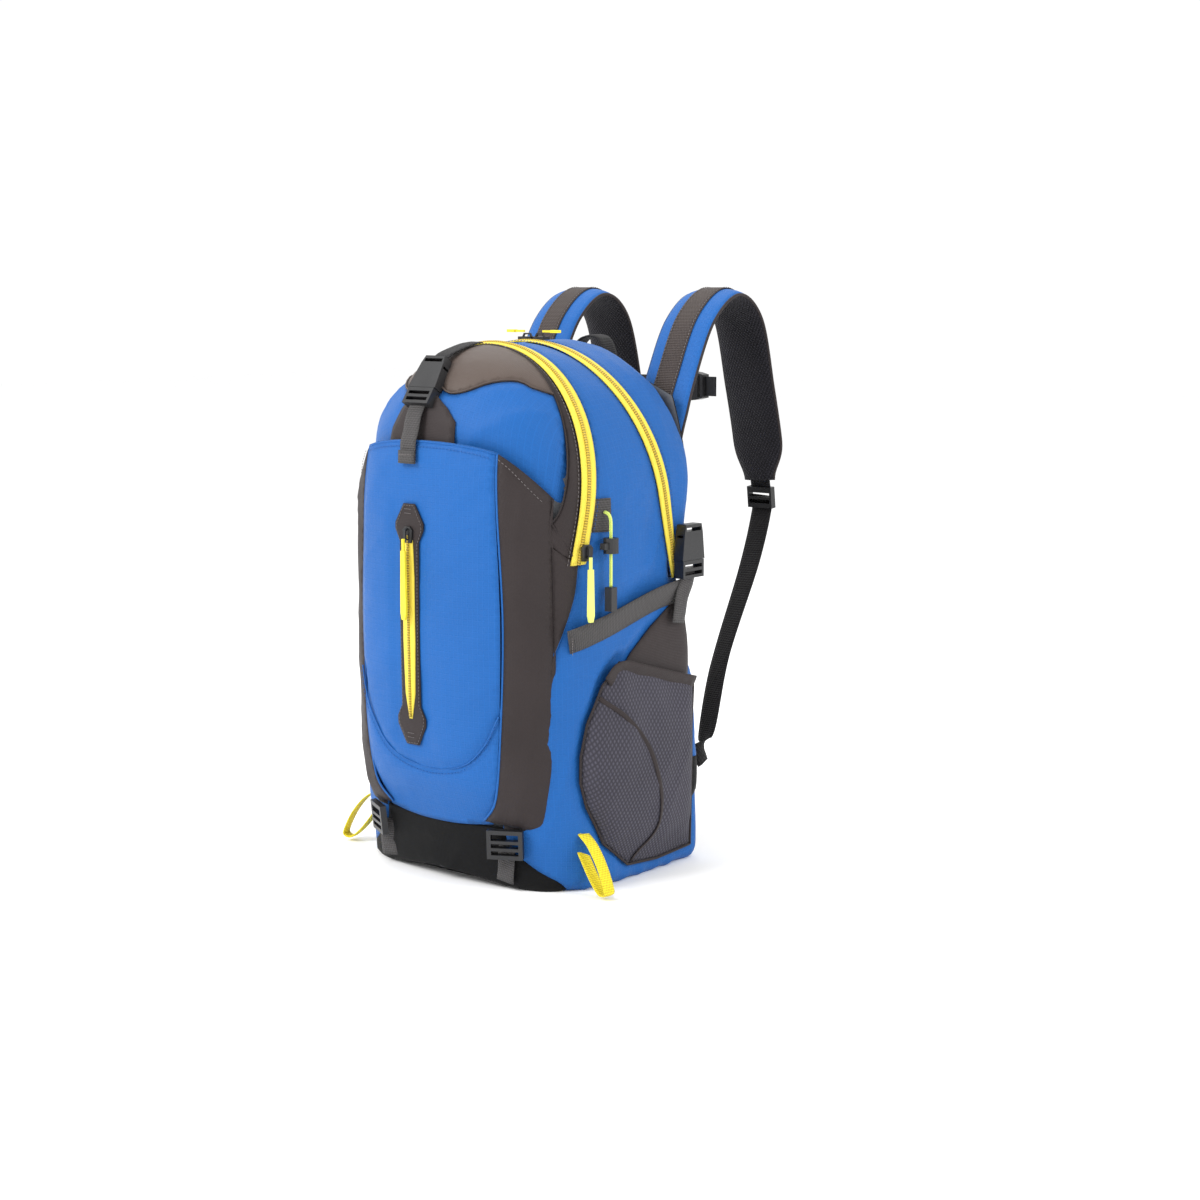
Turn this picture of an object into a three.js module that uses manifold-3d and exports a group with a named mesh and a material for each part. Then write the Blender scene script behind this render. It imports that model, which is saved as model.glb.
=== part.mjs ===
// A panel-loading daypack of about 24 litres, empty of gear but standing full and upright.
// Millimetres, +Z up, wearer's back towards +Y, wearer's right towards +X.
// The origin is the centre of the flat underside of the base.
import * as THREE from "three";
import { mergeVertices } from "three/addons/utils/BufferGeometryUtils.js";
import Module from "manifold-3d";

const wasm = await Module();
wasm.setup();

// ---------- driving dimensions ----------
const GAP = 0.3;
const WALL = 4;

// bag envelope
const HALF_WIDTH = 140;
const HEIGHT = 500;
const FRONT_DEPTH = 140;
const BACK_DEPTH = 100;
const FRONT_TOP_DROP = 120;
const FRONT_ARCH_RISE = 0.4;
const BACK_TOP_DROP = 30;
const BASE_LIFT = 12;
const BASE_TAPER = 14;
const BASE_TAPER_Z = 160;
const BASE_CORNER = 14;
const WAIST_DEPTH = 34;
const WAIST_HEIGHT = 280;

// seams
const BASE_SEAM_Z = 60;
const FOLD_Z = 365;
const FLAP_FOOT_Y = 22.5;
const ZIP_END_Z = 284;
const MAIN_ZIP_END_Y = 45;
const POCKET_ZIP_TOP_Y = -48;
const POCKET_ZIP_END_Y = -84;
const POCKET_ZIP_END_Z = 306;
const ZIP_TAPE_HALF = 13;

// front stash pocket and its zip
const STASH_GROW = 10;
const STASH_HALF = 118;
const STASH_TOP_HALF = 80;
const STASH_TOP_Z = 412;
const STASH_SIDE_TOP_Z = 372;
const FRONT_ZIP_X = -12;
const FRONT_ZIP_TOP_Z = 338;
const FRONT_ZIP_BOTTOM_Z = 148;

// side mesh pockets
const POCKET_GROW = 16;

// webbing and hardware
const WEB_WIDTH = 25;
const WEB_THICK = 2;
const BUCKLE_WIDTH = 34;
const BUCKLE_THICK = 11;

// shoulder straps
const STRAP_X = 86;
const STRAP_WIDTH = 62;
const STRAP_THICK = 13;

const group = new THREE.Group();
export default group;

const finishes = {
  shell: [0x2f7ad0, 0.75],
  dark: [0x443c3c, 0.8],
  base: [0x0c0c0d, 0.8],
  mesh: [0x55525f, 0.9],
  foam: [0x28262c, 0.95],
  webbing: [0x5f5d5d, 0.85],
  plastic: [0x101011, 0.4],
  yellow: [0xf2cf3c, 0.6],
  neon: [0xdcf56e, 0.5],
  sheet: [0xd8d8d4, 0.5],
};

// ---------- solids ----------
function toSolid(geometry) {
  const bare = new THREE.BufferGeometry();
  bare.setAttribute("position", geometry.getAttribute("position"));
  if (geometry.index) bare.setIndex(geometry.index);
  const welded = mergeVertices(bare, 1e-4);
  const vertProperties = new Float32Array(welded.getAttribute("position").array);
  const triVerts = new Uint32Array(welded.index.array);
  return new wasm.Manifold(new wasm.Mesh({ numProp: 3, vertProperties, triVerts }));
}

function toGeometry(solid) {
  const mesh = solid.getMesh();
  const geometry = new THREE.BufferGeometry();
  geometry.setAttribute("position", new THREE.BufferAttribute(new Float32Array(mesh.vertProperties), 3));
  geometry.setIndex(new THREE.BufferAttribute(new Uint32Array(mesh.triVerts), 1));
  geometry.computeVertexNormals();
  return geometry;
}

function add(name, finish, solid) {
  const [color, roughness] = finishes[finish];
  const material = new THREE.MeshStandardMaterial({ color, roughness, metalness: 0 });
  const mesh = new THREE.Mesh(toGeometry(solid), material);
  mesh.name = name;
  group.add(mesh);
}

const union = (...solids) => solids.reduce((sum, next) => sum.add(next));

function box(x0, x1, y0, y1, z0, z1) {
  const geometry = new THREE.BoxGeometry(x1 - x0, y1 - y0, z1 - z0);
  geometry.translate((x0 + x1) / 2, (y0 + y1) / 2, (z0 + z1) / 2);
  return toSolid(geometry);
}

function shapeOf(points) {
  return new THREE.Shape(points.map(([a, b]) => new THREE.Vector2(a, b)));
}

// an outline of [x, z] points, extruded along Y from y0 to y1
function prismY(points, y0, y1) {
  const geometry = new THREE.ExtrudeGeometry(shapeOf(points), { depth: y1 - y0, bevelEnabled: false });
  geometry.rotateX(Math.PI / 2);
  geometry.translate(0, y1, 0);
  return toSolid(geometry);
}

// an outline of [y, z] points, extruded along X from x0 to x1
function prismX(points, x0, x1) {
  const flat = points.map(([y, z]) => [-z, y]);
  const geometry = new THREE.ExtrudeGeometry(shapeOf(flat), { depth: x1 - x0, bevelEnabled: false });
  geometry.rotateY(Math.PI / 2);
  geometry.translate(x0, 0, 0);
  return toSolid(geometry);
}

function moved(solid, x, y, z, rx = 0, ry = 0, rz = 0) {
  const place = new THREE.Matrix4().makeRotationFromEuler(new THREE.Euler(rx, ry, rz, "ZYX"));
  place.setPosition(x, y, z);
  const geometry = toGeometry(solid);
  geometry.applyMatrix4(place);
  return toSolid(geometry);
}

// joins equal rings of an even number of points into a closed body, each end closed across from side to side
function loft(rings) {
  const count = rings[0].length;
  const positions = [];
  const index = [];
  for (const ring of rings) {
    for (const point of ring) positions.push(point.x, point.y, point.z);
  }
  for (let r = 0; r < rings.length - 1; r += 1) {
    for (let k = 0; k < count; k += 1) {
      const a = r * count + k;
      const b = r * count + ((k + 1) % count);
      index.push(a, b, b + count, a, b + count, a + count);
    }
  }
  const start = count - 1;
  for (const [r, flip] of [[0, true], [rings.length - 1, false]]) {
    for (let j = 0; j < count / 2; j += 1) {
      const a = r * count + ((start + j) % count);
      const b = r * count + ((start + j + 1) % count);
      const c = r * count + ((start - j - 1 + count) % count);
      const d = r * count + ((start - j + count) % count);
      for (const [p, q, t] of [[a, b, c], [a, c, d]]) {
        if (p === q || q === t || p === t) continue;
        if (flip) index.push(p, t, q);
        else index.push(p, q, t);
      }
    }
  }
  const geometry = new THREE.BufferGeometry();
  geometry.setAttribute("position", new THREE.Float32BufferAttribute(positions, 3));
  geometry.setIndex(index);
  return toSolid(geometry);
}

// a webbing or pad: a rounded flat section swept along a path of [x, y, z] points,
// its width turned from sideStart to sideEnd on the way
function ribbon(points, width, thick, steps, sideStart, sideEnd = sideStart) {
  const curve = new THREE.CatmullRomCurve3(points.map((p) => new THREE.Vector3(...p)));
  const rings = [];
  for (let i = 0; i <= steps; i += 1) {
    const t = i / steps;
    const centre = curve.getPointAt(t);
    const along = curve.getTangentAt(t);
    const side = new THREE.Vector3(...sideStart).lerp(new THREE.Vector3(...sideEnd), t);
    side.addScaledVector(along, -side.dot(along)).normalize();
    const up = new THREE.Vector3().crossVectors(side, along);
    const ring = [];
    for (const [u, v] of [[-1, 0.4], [-0.86, 1], [0.86, 1], [1, 0.4], [1, -0.4], [0.86, -1],
      [-0.86, -1], [-1, -0.4]]) {
      ring.push(centre.clone().addScaledVector(side, (u * width) / 2).addScaledVector(up, (v * thick) / 2));
    }
    rings.push(ring);
  }
  return loft(rings);
}

// ---------- the bag's envelope ----------
function backWaist(z) {
  const waist = WAIST_DEPTH * Math.exp(-(((z - WAIST_HEIGHT) / 90) ** 2));
  const crown = 10 * THREE.MathUtils.smoothstep(z, 150, 420);
  return waist + crown;
}

// the front tucks in towards the base
function frontTaper(z) {
  return BASE_TAPER * (1 - THREE.MathUtils.smoothstep(z, 0, BASE_TAPER_Z));
}

// one cross-section: s runs from -1 at the front to +1 at the back
function bagSection(s, grow) {
  const reach = Math.abs(s);
  const front = s < 0;
  const width = front ? HALF_WIDTH * (1 - reach ** 4) ** 0.4545 : HALF_WIDTH * (1 - reach ** 14) ** 0.25;
  const drop = front ? FRONT_TOP_DROP * (1 - (1 - reach ** 4) ** 0.4545) : BACK_TOP_DROP * reach ** 5;
  const lift = BASE_LIFT * Math.max(0, (reach - 0.75) / 0.25) ** 2;
  const halfWidth = width + grow;
  const top = HEIGHT - drop + grow;
  const bottom = lift - grow;
  const y = s * ((front ? FRONT_DEPTH : BACK_DEPTH) + grow);
  const corner = Math.min(BASE_CORNER, halfWidth * 0.6);
  const rise = halfWidth * (1 + (front ? FRONT_ARCH_RISE * reach ** 2 : 0));
  const spring = top - rise;
  const half = [new THREE.Vector2(0, bottom)];
  for (let k = 0; k <= 3; k += 1) {
    const angle = (k / 3) * (Math.PI / 2);
    half.push(new THREE.Vector2(halfWidth - corner + corner * Math.sin(angle),
      bottom + corner - corner * Math.cos(angle)));
  }
  for (let k = 1; k <= 5; k += 1) {
    half.push(new THREE.Vector2(halfWidth, THREE.MathUtils.lerp(bottom + corner, spring, k / 6)));
  }
  for (let k = 0; k <= 9; k += 1) {
    const angle = (k / 9) * (Math.PI / 2);
    half.push(new THREE.Vector2(halfWidth * Math.cos(angle), spring + rise * Math.sin(angle)));
  }
  const mirror = half.slice(1, -1).reverse().map((p) => new THREE.Vector2(-p.x, p.y));
  return [...half, ...mirror].map((p) => {
    const shift = (front ? -frontTaper(p.y) : backWaist(p.y)) * reach ** 2;
    return new THREE.Vector3(p.x, y - shift, p.y);
  });
}

function bagBody(grow) {
  const rings = [];
  for (let k = -9; k <= 9; k += 1) {
    rings.push(bagSection(Math.sin((k / 9) * THREE.MathUtils.degToRad(80)), grow).reverse());
  }
  return loft(rings);
}

const body = new Map();
function envelope(grow) {
  if (!body.has(grow)) body.set(grow, bagBody(grow));
  return body.get(grow);
}

// a layer that lies on the bag, between two distances from its surface, inside a region
function layer(low, high, region) {
  return envelope(high).intersect(region).subtract(envelope(low));
}

const FAR = 400;
const above = (z) => box(-FAR, FAR, -FAR, FAR, z, 700);
const below = (z) => box(-FAR, FAR, -FAR, FAR, -50, z);
const between = (low, high) => box(-FAR, FAR, -FAR, FAR, low, high);

// the main zip lies in a plane that leans back towards its lower ends
const mainLean = Math.atan2(MAIN_ZIP_END_Y, HEIGHT - ZIP_END_Z);
const pocketLean = Math.atan2(POCKET_ZIP_TOP_Y - POCKET_ZIP_END_Y, HEIGHT - POCKET_ZIP_END_Z);

// a slab along the main zip's plane, between two distances behind it
function mainSlab(near, far) {
  return moved(box(-FAR, FAR, near, far, -700, 200), 0, 0, HEIGHT, mainLean);
}

// ---------- shells ----------
const inFront = mainSlab(-FAR, -GAP);
// the flap's rear edge stands further forward at its foot, because that corner rises first as the flap opens
const flapEdge = [[-FAR, FOLD_Z + GAP], [FLAP_FOOT_Y, FOLD_Z + GAP], [-1.2, HEIGHT + 4], [-1.2, 700],
  [-FAR, 700]];
const flapRegion = prismX(flapEdge, -FAR, FAR);
const behind = mainSlab(GAP, FAR);
const skin = envelope(0).subtract(envelope(-WALL));
// the wall between the main and front compartments follows the arch zip, then drops to the base
const dividerLine = [[-44, 520], [-70, FOLD_Z], [-80, 300], [-80, BASE_SEAM_Z], [-83, BASE_SEAM_Z],
  [-83, 300], [-73, FOLD_Z], [-47, 520]];
const divider = prismX(dividerLine, -FAR, FAR).intersect(envelope(-WALL / 2));

add("base_shell", "base", skin.intersect(below(BASE_SEAM_Z - GAP)));
const lowerFront = between(ZIP_END_Z - 1, FOLD_Z - GAP).intersect(inFront);
const lowerRegion = union(between(BASE_SEAM_Z, ZIP_END_Z), lowerFront);
add("lower_shell", "shell", union(skin, divider).intersect(lowerRegion));
add("rear_shell", "shell", skin.intersect(above(ZIP_END_Z + GAP)).intersect(behind));
add("front_flap", "shell", union(skin, divider).intersect(flapRegion));

const sheetRegion = prismY([[-100, 70], [100, 70], [100, 430], [60, 465], [-60, 465], [-100, 430]], 20, 200);
const sheetSolid = envelope(-WALL - 1).intersect(sheetRegion).subtract(envelope(-WALL - 4));
add("frame_sheet", "sheet", sheetSolid);

const padOutline = [[-112, 60], [112, 60], [104, 250], [112, 398], [22, 398], [18, 150], [-18, 150],
  [-22, 398], [-112, 398], [-104, 250]];
add("back_pad", "foam", layer(0.4, 14, prismY(padOutline, 20, 200)));
const yokeOutline = [[-48, 402], [48, 402], [48, 446], [-48, 446]];
add("harness_yoke", "foam", layer(0.4, 5, prismY(yokeOutline, 40, 200)));

// ---------- zips ----------
const tapeLow = 0.4;
const tapeHigh = 2.2;
const mainTapeRear = layer(tapeLow, tapeHigh, mainSlab(GAP, ZIP_TAPE_HALF).intersect(above(ZIP_END_Z)));
const mainTapeEnds = layer(tapeLow, tapeHigh,
  mainSlab(-ZIP_TAPE_HALF, 1).intersect(between(ZIP_END_Z, FOLD_Z - GAP)));
add("main_zip_tape", "yellow", union(mainTapeRear, mainTapeEnds));
add("main_zip_flap_tape", "yellow",
  layer(tapeLow, tapeHigh, mainSlab(-ZIP_TAPE_HALF, -GAP).intersect(flapRegion)));

function pocketSlab(near, far) {
  return moved(box(-FAR, FAR, near, far, -700, 200), 0, POCKET_ZIP_TOP_Y, HEIGHT, -pocketLean);
}
add("front_zip_arch_tape", "yellow",
  layer(tapeLow, tapeHigh, pocketSlab(-6, 6).intersect(above(FOLD_Z + GAP))));

// ---------- stash pocket ----------
// an open-topped pouch on the bag's front: its outer wall stands off the bag
const stashOutline = [[-STASH_HALF + 8, 66], [STASH_HALF - 8, 66], [STASH_HALF, 110],
  [STASH_HALF, STASH_SIDE_TOP_Z], [STASH_TOP_HALF, STASH_TOP_Z - 6],
  [FRONT_ZIP_X, STASH_TOP_Z], [-STASH_TOP_HALF, STASH_TOP_Z - 6],
  [-STASH_HALF, STASH_SIDE_TOP_Z], [-STASH_HALF, 110]];
const stashHollow = [[-STASH_HALF + 12, 74], [STASH_HALF - 12, 74], [STASH_HALF - 4, 112],
  [STASH_HALF - 4, 430], [-STASH_HALF + 4, 430], [-STASH_HALF + 4, 112]];
const stashWall = layer(0.4, STASH_GROW, prismY(stashOutline, -200, -40));
const stashSpace = layer(0, STASH_GROW - 2.4, prismY(stashHollow, -200, -40));
const stash = stashWall.subtract(stashSpace);
add("stash_pocket", "shell", stash.intersect(below(FOLD_Z - GAP)));
add("stash_pocket_top", "shell", stash.intersect(above(FOLD_Z + GAP)));

function hexFrame(half, low, high) {
  const waist = half - 5;
  return [[-6, low], [6, low], [half, low + 18], [waist, low + 36], [waist, high - 36],
    [half, high - 18], [6, high], [-6, high], [-half, high - 18],
    [-waist, high - 36], [-waist, low + 36], [-half, low + 18]]
    .map(([x, z]) => [x + FRONT_ZIP_X, z]);
}
const hexRegion = prismY(hexFrame(18, FRONT_ZIP_BOTTOM_Z - 18, FRONT_ZIP_TOP_Z + 20), -200, -90);
add("front_zip_frame", "dark", layer(STASH_GROW + GAP, STASH_GROW + 1.5, hexRegion));
const frontZipStrip = box(FRONT_ZIP_X - 5, FRONT_ZIP_X + 5, -200, -90, FRONT_ZIP_BOTTOM_Z, FRONT_ZIP_TOP_Z);
add("front_zip_tape", "yellow", layer(STASH_GROW + 1.8, STASH_GROW + 3, frontZipStrip));

// ---------- zip sliders and pulls ----------
// a slider with its front face towards -Y and its bridge standing proud
function sliderSolid() {
  const plate = prismY([[-5, -7], [5, -7], [6, 5], [3, 8], [-3, 8], [-6, 5]], -3, 0);
  const bridge = prismX([[-2.9, -5], [-6.4, -3], [-6.4, 5], [-2.9, 7], [-2.9, 5], [-4.9, 4], [-4.9, -2.4],
    [-2.9, -3.6]], -1, 1);
  return union(plate, bridge);
}
// a cord pull hanging from its pin: a loop round the bridge and a moulded grip below it
function pullSolid(length) {
  const outline = [[-2.6, -14], [2.6, -14], [3.4, -length + 6], [2, -length],
    [-2, -length], [-3.4, -length + 6]];
  const grip = prismY(outline, -9.5, -6.9);
  const neck = box(-1.2, 1.2, -9.2, -7.1, -15, -3);
  return union(grip, neck);
}

const frontSliderY = -FRONT_DEPTH - STASH_GROW - 3.6;
const frontSliderZ = FRONT_ZIP_TOP_Z - 10;
add("front_zip_slider", "plastic", moved(sliderSolid(), FRONT_ZIP_X, frontSliderY, frontSliderZ));
add("front_zip_pull", "yellow", moved(pullSolid(78), FRONT_ZIP_X, frontSliderY, frontSliderZ));

// the arch zip's slider parks at its lower end on the wearer's-right side
const archSliderX = HALF_WIDTH - 1;
const archSliderY = POCKET_ZIP_END_Y + 3;
const archPlace = [archSliderX, archSliderY, POCKET_ZIP_END_Z + 10, 0, 0, Math.PI / 2 - 0.3];
add("arch_zip_slider", "plastic", moved(sliderSolid(), ...archPlace));
add("arch_zip_pull", "neon", moved(pullSolid(62), ...archPlace));

// the main zip's two sliders meet at the crown and run down either side
const crownZ = HEIGHT + tapeHigh + 1.2;
const crownY = 7;
for (const [side, sign] of [["left", -1], ["right", 1]]) {
  const turn = sign * Math.PI / 2;
  const slider = moved(moved(sliderSolid(), 0, 0, 0, -Math.PI / 2), 0, 0, 0, 0, 0, turn);
  const pull = moved(moved(pullSolid(24), 0, 0, 0, -Math.PI / 2), 0, 0, 0, 0, 0, turn);
  add(`main_zip_slider_${side}`, "yellow", moved(slider, sign * 9, crownY, crownZ));
  add(`main_zip_pull_${side}`, "yellow", moved(pull, sign * 9, crownY, crownZ));
}

// ---------- side-release buckles ----------
// sockets open downwards at z = 0, prongs stand up into them
function socketSolid() {
  const half = BUCKLE_WIDTH / 2;
  const outline = [[-half, 0], [half, 0], [half - 3, 26], [half - 5, 34], [-half + 5, 34], [-half + 3, 26]];
  const shell = prismY(outline, -BUCKLE_THICK / 2, BUCKLE_THICK / 2);
  const throat = box(-half + 2.5, half - 2.5, -BUCKLE_THICK / 2 + 2, BUCKLE_THICK / 2 - 2, -1, 24);
  const slot = box(-half + 6, half - 6, -9, 9, 27.5, 31);
  return shell.subtract(throat).subtract(slot);
}
function prongSolid() {
  const half = BUCKLE_WIDTH / 2;
  const bar = box(-half + 1, half - 1, -BUCKLE_THICK / 2, BUCKLE_THICK / 2, -17, -GAP);
  const slots = union(box(-half + 4, half - 4, -9, 9, -7.5, -4),
    box(-half + 4, half - 4, -9, 9, -14, -10.5));
  const arms = [-1, 1].map((sign) => prismY([[sign * (half - 7), -1], [sign * (half - 3.4), -1],
    [sign * (half - 3.2), 18], [sign * (half - 8), 21]], -2.8, 2.8));
  const tongue = box(-2.5, 2.5, -2.8, 2.8, -1, 16);
  return union(bar.subtract(slots), tongue, ...arms);
}

// ---------- top strap over the stash pocket ----------
const topStrapX = FRONT_ZIP_X;
const buckleLean = -0.6;
const topBuckle = [topStrapX, -131, 460];
add("top_buckle_socket", "plastic", moved(socketSolid(), ...topBuckle, buckleLean));
add("top_buckle_prongs", "plastic", moved(prongSolid(), ...topBuckle, buckleLean));
const topStrapRegion = box(topStrapX - 10, topStrapX + 10, -200, -60, FOLD_Z + 25, 414);
add("top_strap", "webbing", layer(STASH_GROW + GAP, STASH_GROW + GAP + WEB_THICK, topStrapRegion));

// ---------- side pieces, made for one side and mirrored ----------
const mirrorX = (solid) => solid.mirror([1, 0, 0]);
function addPair(name, finish, solid) {
  add(`${name}_right`, finish, solid);
  add(`${name}_left`, finish, mirrorX(solid));
}

const RIGHT = [112, 300];
// mesh bottle pocket: a pouch on the side, open at its top edge
const pocketOutline = [[74, 16], [72, 184], [-38, 216], [-62, 196], [-80, 150], [-84, 120], [-78, 84],
  [-58, 44], [-24, 16]];
const pocketHollow = [[68, 24], [66, 240], [-36, 240], [-36, 211], [-57, 192], [-73, 148], [-77, 120],
  [-71, 86], [-53, 50], [-22, 24]];
const pocketWall = layer(0.4, POCKET_GROW, prismX(pocketOutline, ...RIGHT));
const pocketSpace = layer(0, POCKET_GROW - 2, prismX(pocketHollow, ...RIGHT));
addPair("mesh_pocket", "mesh", pocketWall.subtract(pocketSpace));

// compression strap: sewn in at the front seam, rising to the buckle at the back edge
const strapLow = 3.4;
const compressionLine = [[-94, 224], [-94, 249], [-60, 259], [10, 277], [58, 284], [58, 259], [10, 252],
  [-60, 234]];
const bandSolid = layer(strapLow, strapLow + WEB_THICK, prismX(compressionLine, 104, 300));
addPair("compression_strap", "webbing", bandSolid);
const buckleTurn = Math.PI / 2;
const sideBuckle = [HALF_WIDTH + 12, 56, 298];
addPair("compression_socket", "plastic", moved(socketSolid(), ...sideBuckle, 0, 0, buckleTurn));
addPair("compression_prongs", "plastic", moved(prongSolid(), ...sideBuckle, 0, 0, buckleTurn));

// gear tab with an elastic cord, a spring cord lock and a moulded cord end
const tabRegion = prismX([[-71, 334], [-49, 334], [-49, 364], [-71, 364]], ...RIGHT);
addPair("gear_tab", "webbing", layer(0.4, 3, tabRegion));
const cordX = HALF_WIDTH + 11;
const cordY = -60;
const cordLow = 284.3;
const cordRoute = [[HALF_WIDTH + 3.4, cordY, 352], [cordX - 3, cordY, 350.6], [cordX - 0.4, cordY, 346],
  [cordX, cordY, 338], [cordX, cordY, 322], [cordX, cordY, 304], [cordX, cordY, cordLow]];
function cordTube(points, radius, steps) {
  const curve = new THREE.CatmullRomCurve3(points.map((p) => new THREE.Vector3(...p)));
  const section = new THREE.Shape();
  section.absarc(0, 0, radius, 0, Math.PI * 2);
  const settings = { extrudePath: curve, steps, curveSegments: 8, bevelEnabled: false };
  return toSolid(new THREE.ExtrudeGeometry(section, settings));
}
addPair("gear_cord", "neon", cordTube(cordRoute, 1.5, 14));
const lockCentre = [cordX, cordY, 322];
const barrel = new THREE.CylinderGeometry(7, 7, 14, 14);
barrel.rotateX(Math.PI / 2);
const barrelBore = union(box(-3.2, 3.2, -8, 4, -3.2, 3.2), box(-2, 2, -2, 2, -9, 9));
addPair("cord_lock", "plastic", moved(toSolid(barrel).subtract(barrelBore), ...lockCentre));
const plunger = box(-2.9, 2.9, -12, 1, -2.9, 2.9).subtract(box(-2, 2, -4.6, 2, -4, 4));
addPair("cord_lock_button", "plastic", moved(plunger, ...lockCentre));
addPair("cord_end", "plastic", box(cordX - 4, cordX + 4, cordY - 4, cordY + 4, 262, cordLow - GAP));

// ladder locks and the webbing that runs down from them to the underside
const ladderX = 78;
const ladderLock = box(-17, 17, -3, 3, -14, 14).subtract(
  union(box(-13, 13, -9, 9, 4, 10), box(-13, 13, -9, 9, -3, 1), box(-13, 13, -9, 9, -10, -6)));
const ladderPlace = [ladderX + 4, -129, 46, 0.1, 0, 0.5];
addPair("ladder_lock", "plastic", moved(ladderLock, ...ladderPlace));
const baseWebRegion = box(ladderX - 11, ladderX + 11, -200, -60, 6, 30);
addPair("base_strap", "webbing", layer(0.4, 0.4 + WEB_THICK, baseWebRegion));

// hem loops: folded webbing standing out of the lower side seam
const hemPlace = [128, -78, 0, 0, 0, 1.35];
const hemOuter = [[4, 62], [-16, 51], [-34, 32], [-46, 11], [-44, 4], [-34, 3], [-20, 17], [4, 42]];
const hemInner = [[9, 61], [-15, 48.5], [-32, 30.5], [-43, 10], [-42, 7], [-35, 6], [-21, 19.5], [9, 50]];
const hemLoop = prismX(hemOuter, -5.5, 5.5).subtract(prismX(hemInner, -9, 9));
addPair("hem_loop", "yellow", moved(hemLoop, ...hemPlace).subtract(envelope(3)));

// ---------- shoulder harness ----------
const strapPath = [[STRAP_X, 97, 432], [STRAP_X, 111, 464], [STRAP_X, 142, 520], [STRAP_X, 184, 546],
  [STRAP_X, 222, 522], [STRAP_X, 244, 452], [STRAP_X + 2, 256, 396], [STRAP_X + 4, 258, 356]];
const strapSolid = ribbon(strapPath, STRAP_WIDTH, STRAP_THICK, 26, [1, 0, 0]);
addPair("shoulder_strap", "shell", strapSolid.subtract(envelope(5.5)));
const adjuster = box(-15, 15, -3.5, 3.5, -16, 6).subtract(
  union(box(-12.6, 12.6, -9, 9, -4, 0), box(-12.6, 12.6, -9, 9, -11, -7)));
const adjusterPlace = [STRAP_X + 4, 260, 343, 0.12];
addPair("strap_adjuster", "plastic", moved(adjuster, ...adjusterPlace));
const tailPath = [[STRAP_X + 4, 262, 325], [STRAP_X + 10, 232, 270], [STRAP_X + 22, 166, 180],
  [STRAP_X + 36, 122, 106]];
addPair("strap_webbing", "webbing", ribbon(tailPath, WEB_WIDTH, WEB_THICK, 16, [1, 0, 0], [0.1, 0.4, 0.9]));
const anchorOutline = [[92, 62], [120, 82], [120, 98], [92, 102]];
const anchorSolid = prismX(anchorOutline, 112, 118).subtract(envelope(0.5));
addPair("strap_anchor", "base", anchorSolid);

// sternum strap: two webbing halves that meet in a buckle
const sternumY = 230;
const sternumZ = 452;
const sternumSocket = moved(socketSolid(), 6, sternumY, sternumZ, 0, Math.PI / 2);
const sternumProngs = moved(prongSolid(), 6, sternumY, sternumZ, 0, Math.PI / 2);
const sternumReach = STRAP_X - STRAP_WIDTH / 2 - 2;
const webRight = box(38, sternumReach, sternumY - 1, sternumY + 1, sternumZ - 10, sternumZ + 10);
const webLeft = box(-sternumReach, -9, sternumY - 1, sternumY + 1, sternumZ - 10, sternumZ + 10);
add("sternum_strap_right", "plastic", union(sternumSocket, webRight));
add("sternum_strap_left", "plastic", union(sternumProngs, webLeft));

// haul loop at the top of the back
const haulPath = [[-26, 92, 473], [-22, 96, 490], [-10, 99, 504], [10, 99, 504], [22, 96, 490],
  [26, 92, 473]];
add("haul_loop", "webbing", ribbon(haulPath, 18, 3, 20, [0, 1, 0.05]).subtract(envelope(2)));
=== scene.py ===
import math
import bpy
import numpy as np
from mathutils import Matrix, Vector
from mathutils.geometry import delaunay_2d_cdt


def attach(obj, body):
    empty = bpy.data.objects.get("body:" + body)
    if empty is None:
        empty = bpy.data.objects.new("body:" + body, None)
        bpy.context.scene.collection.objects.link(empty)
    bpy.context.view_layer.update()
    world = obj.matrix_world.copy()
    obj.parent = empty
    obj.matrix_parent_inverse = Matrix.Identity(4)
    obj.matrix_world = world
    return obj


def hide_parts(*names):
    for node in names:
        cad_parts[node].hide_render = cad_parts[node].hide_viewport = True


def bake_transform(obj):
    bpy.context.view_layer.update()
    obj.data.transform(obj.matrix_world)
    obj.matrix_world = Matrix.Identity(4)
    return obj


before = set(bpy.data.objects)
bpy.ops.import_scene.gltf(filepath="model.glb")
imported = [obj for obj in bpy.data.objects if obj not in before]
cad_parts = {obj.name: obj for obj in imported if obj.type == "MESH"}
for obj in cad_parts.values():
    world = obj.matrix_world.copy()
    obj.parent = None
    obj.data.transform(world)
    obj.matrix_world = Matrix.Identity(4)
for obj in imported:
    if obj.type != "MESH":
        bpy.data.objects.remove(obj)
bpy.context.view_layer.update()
MM = 0.001
FLOOR_HALF = 9000
LINING_DEPTH = -3.4
FRONT_ZIP_X, FRONT_ZIP_MID_Z = -12.0, 244
HEM_LOOP_TURN = 1.35
UNDERSIDE_REACH = 124

# ---------- the bag's envelope, in millimetres, as the frame's shells follow it ----------
HALF_WIDTH, HEIGHT = 140.0, 500.0
FRONT_DEPTH, BACK_DEPTH = 140.0, 100.0
BASE_CORNER = 14.0
PLAN_END = 0.9995  # how far towards its front and back ends the section is evaluated
WIDTH_POWER = 0.4545
CROWN = 580.0  # ring height of the crown; the left side runs on from there to 2 * CROWN
SIDE_TOP, SIDE_LOW = 360.0, 30.0


def smooth(x, a, b):
    t = np.clip((x - a) / (b - a), 0, 1)
    return t * t * (3 - 2 * t)


def unit(rows):
    return rows / np.linalg.norm(rows, axis=1)[:, None]


def tangents(points):
    return unit(np.gradient(points, axis=0))


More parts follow.
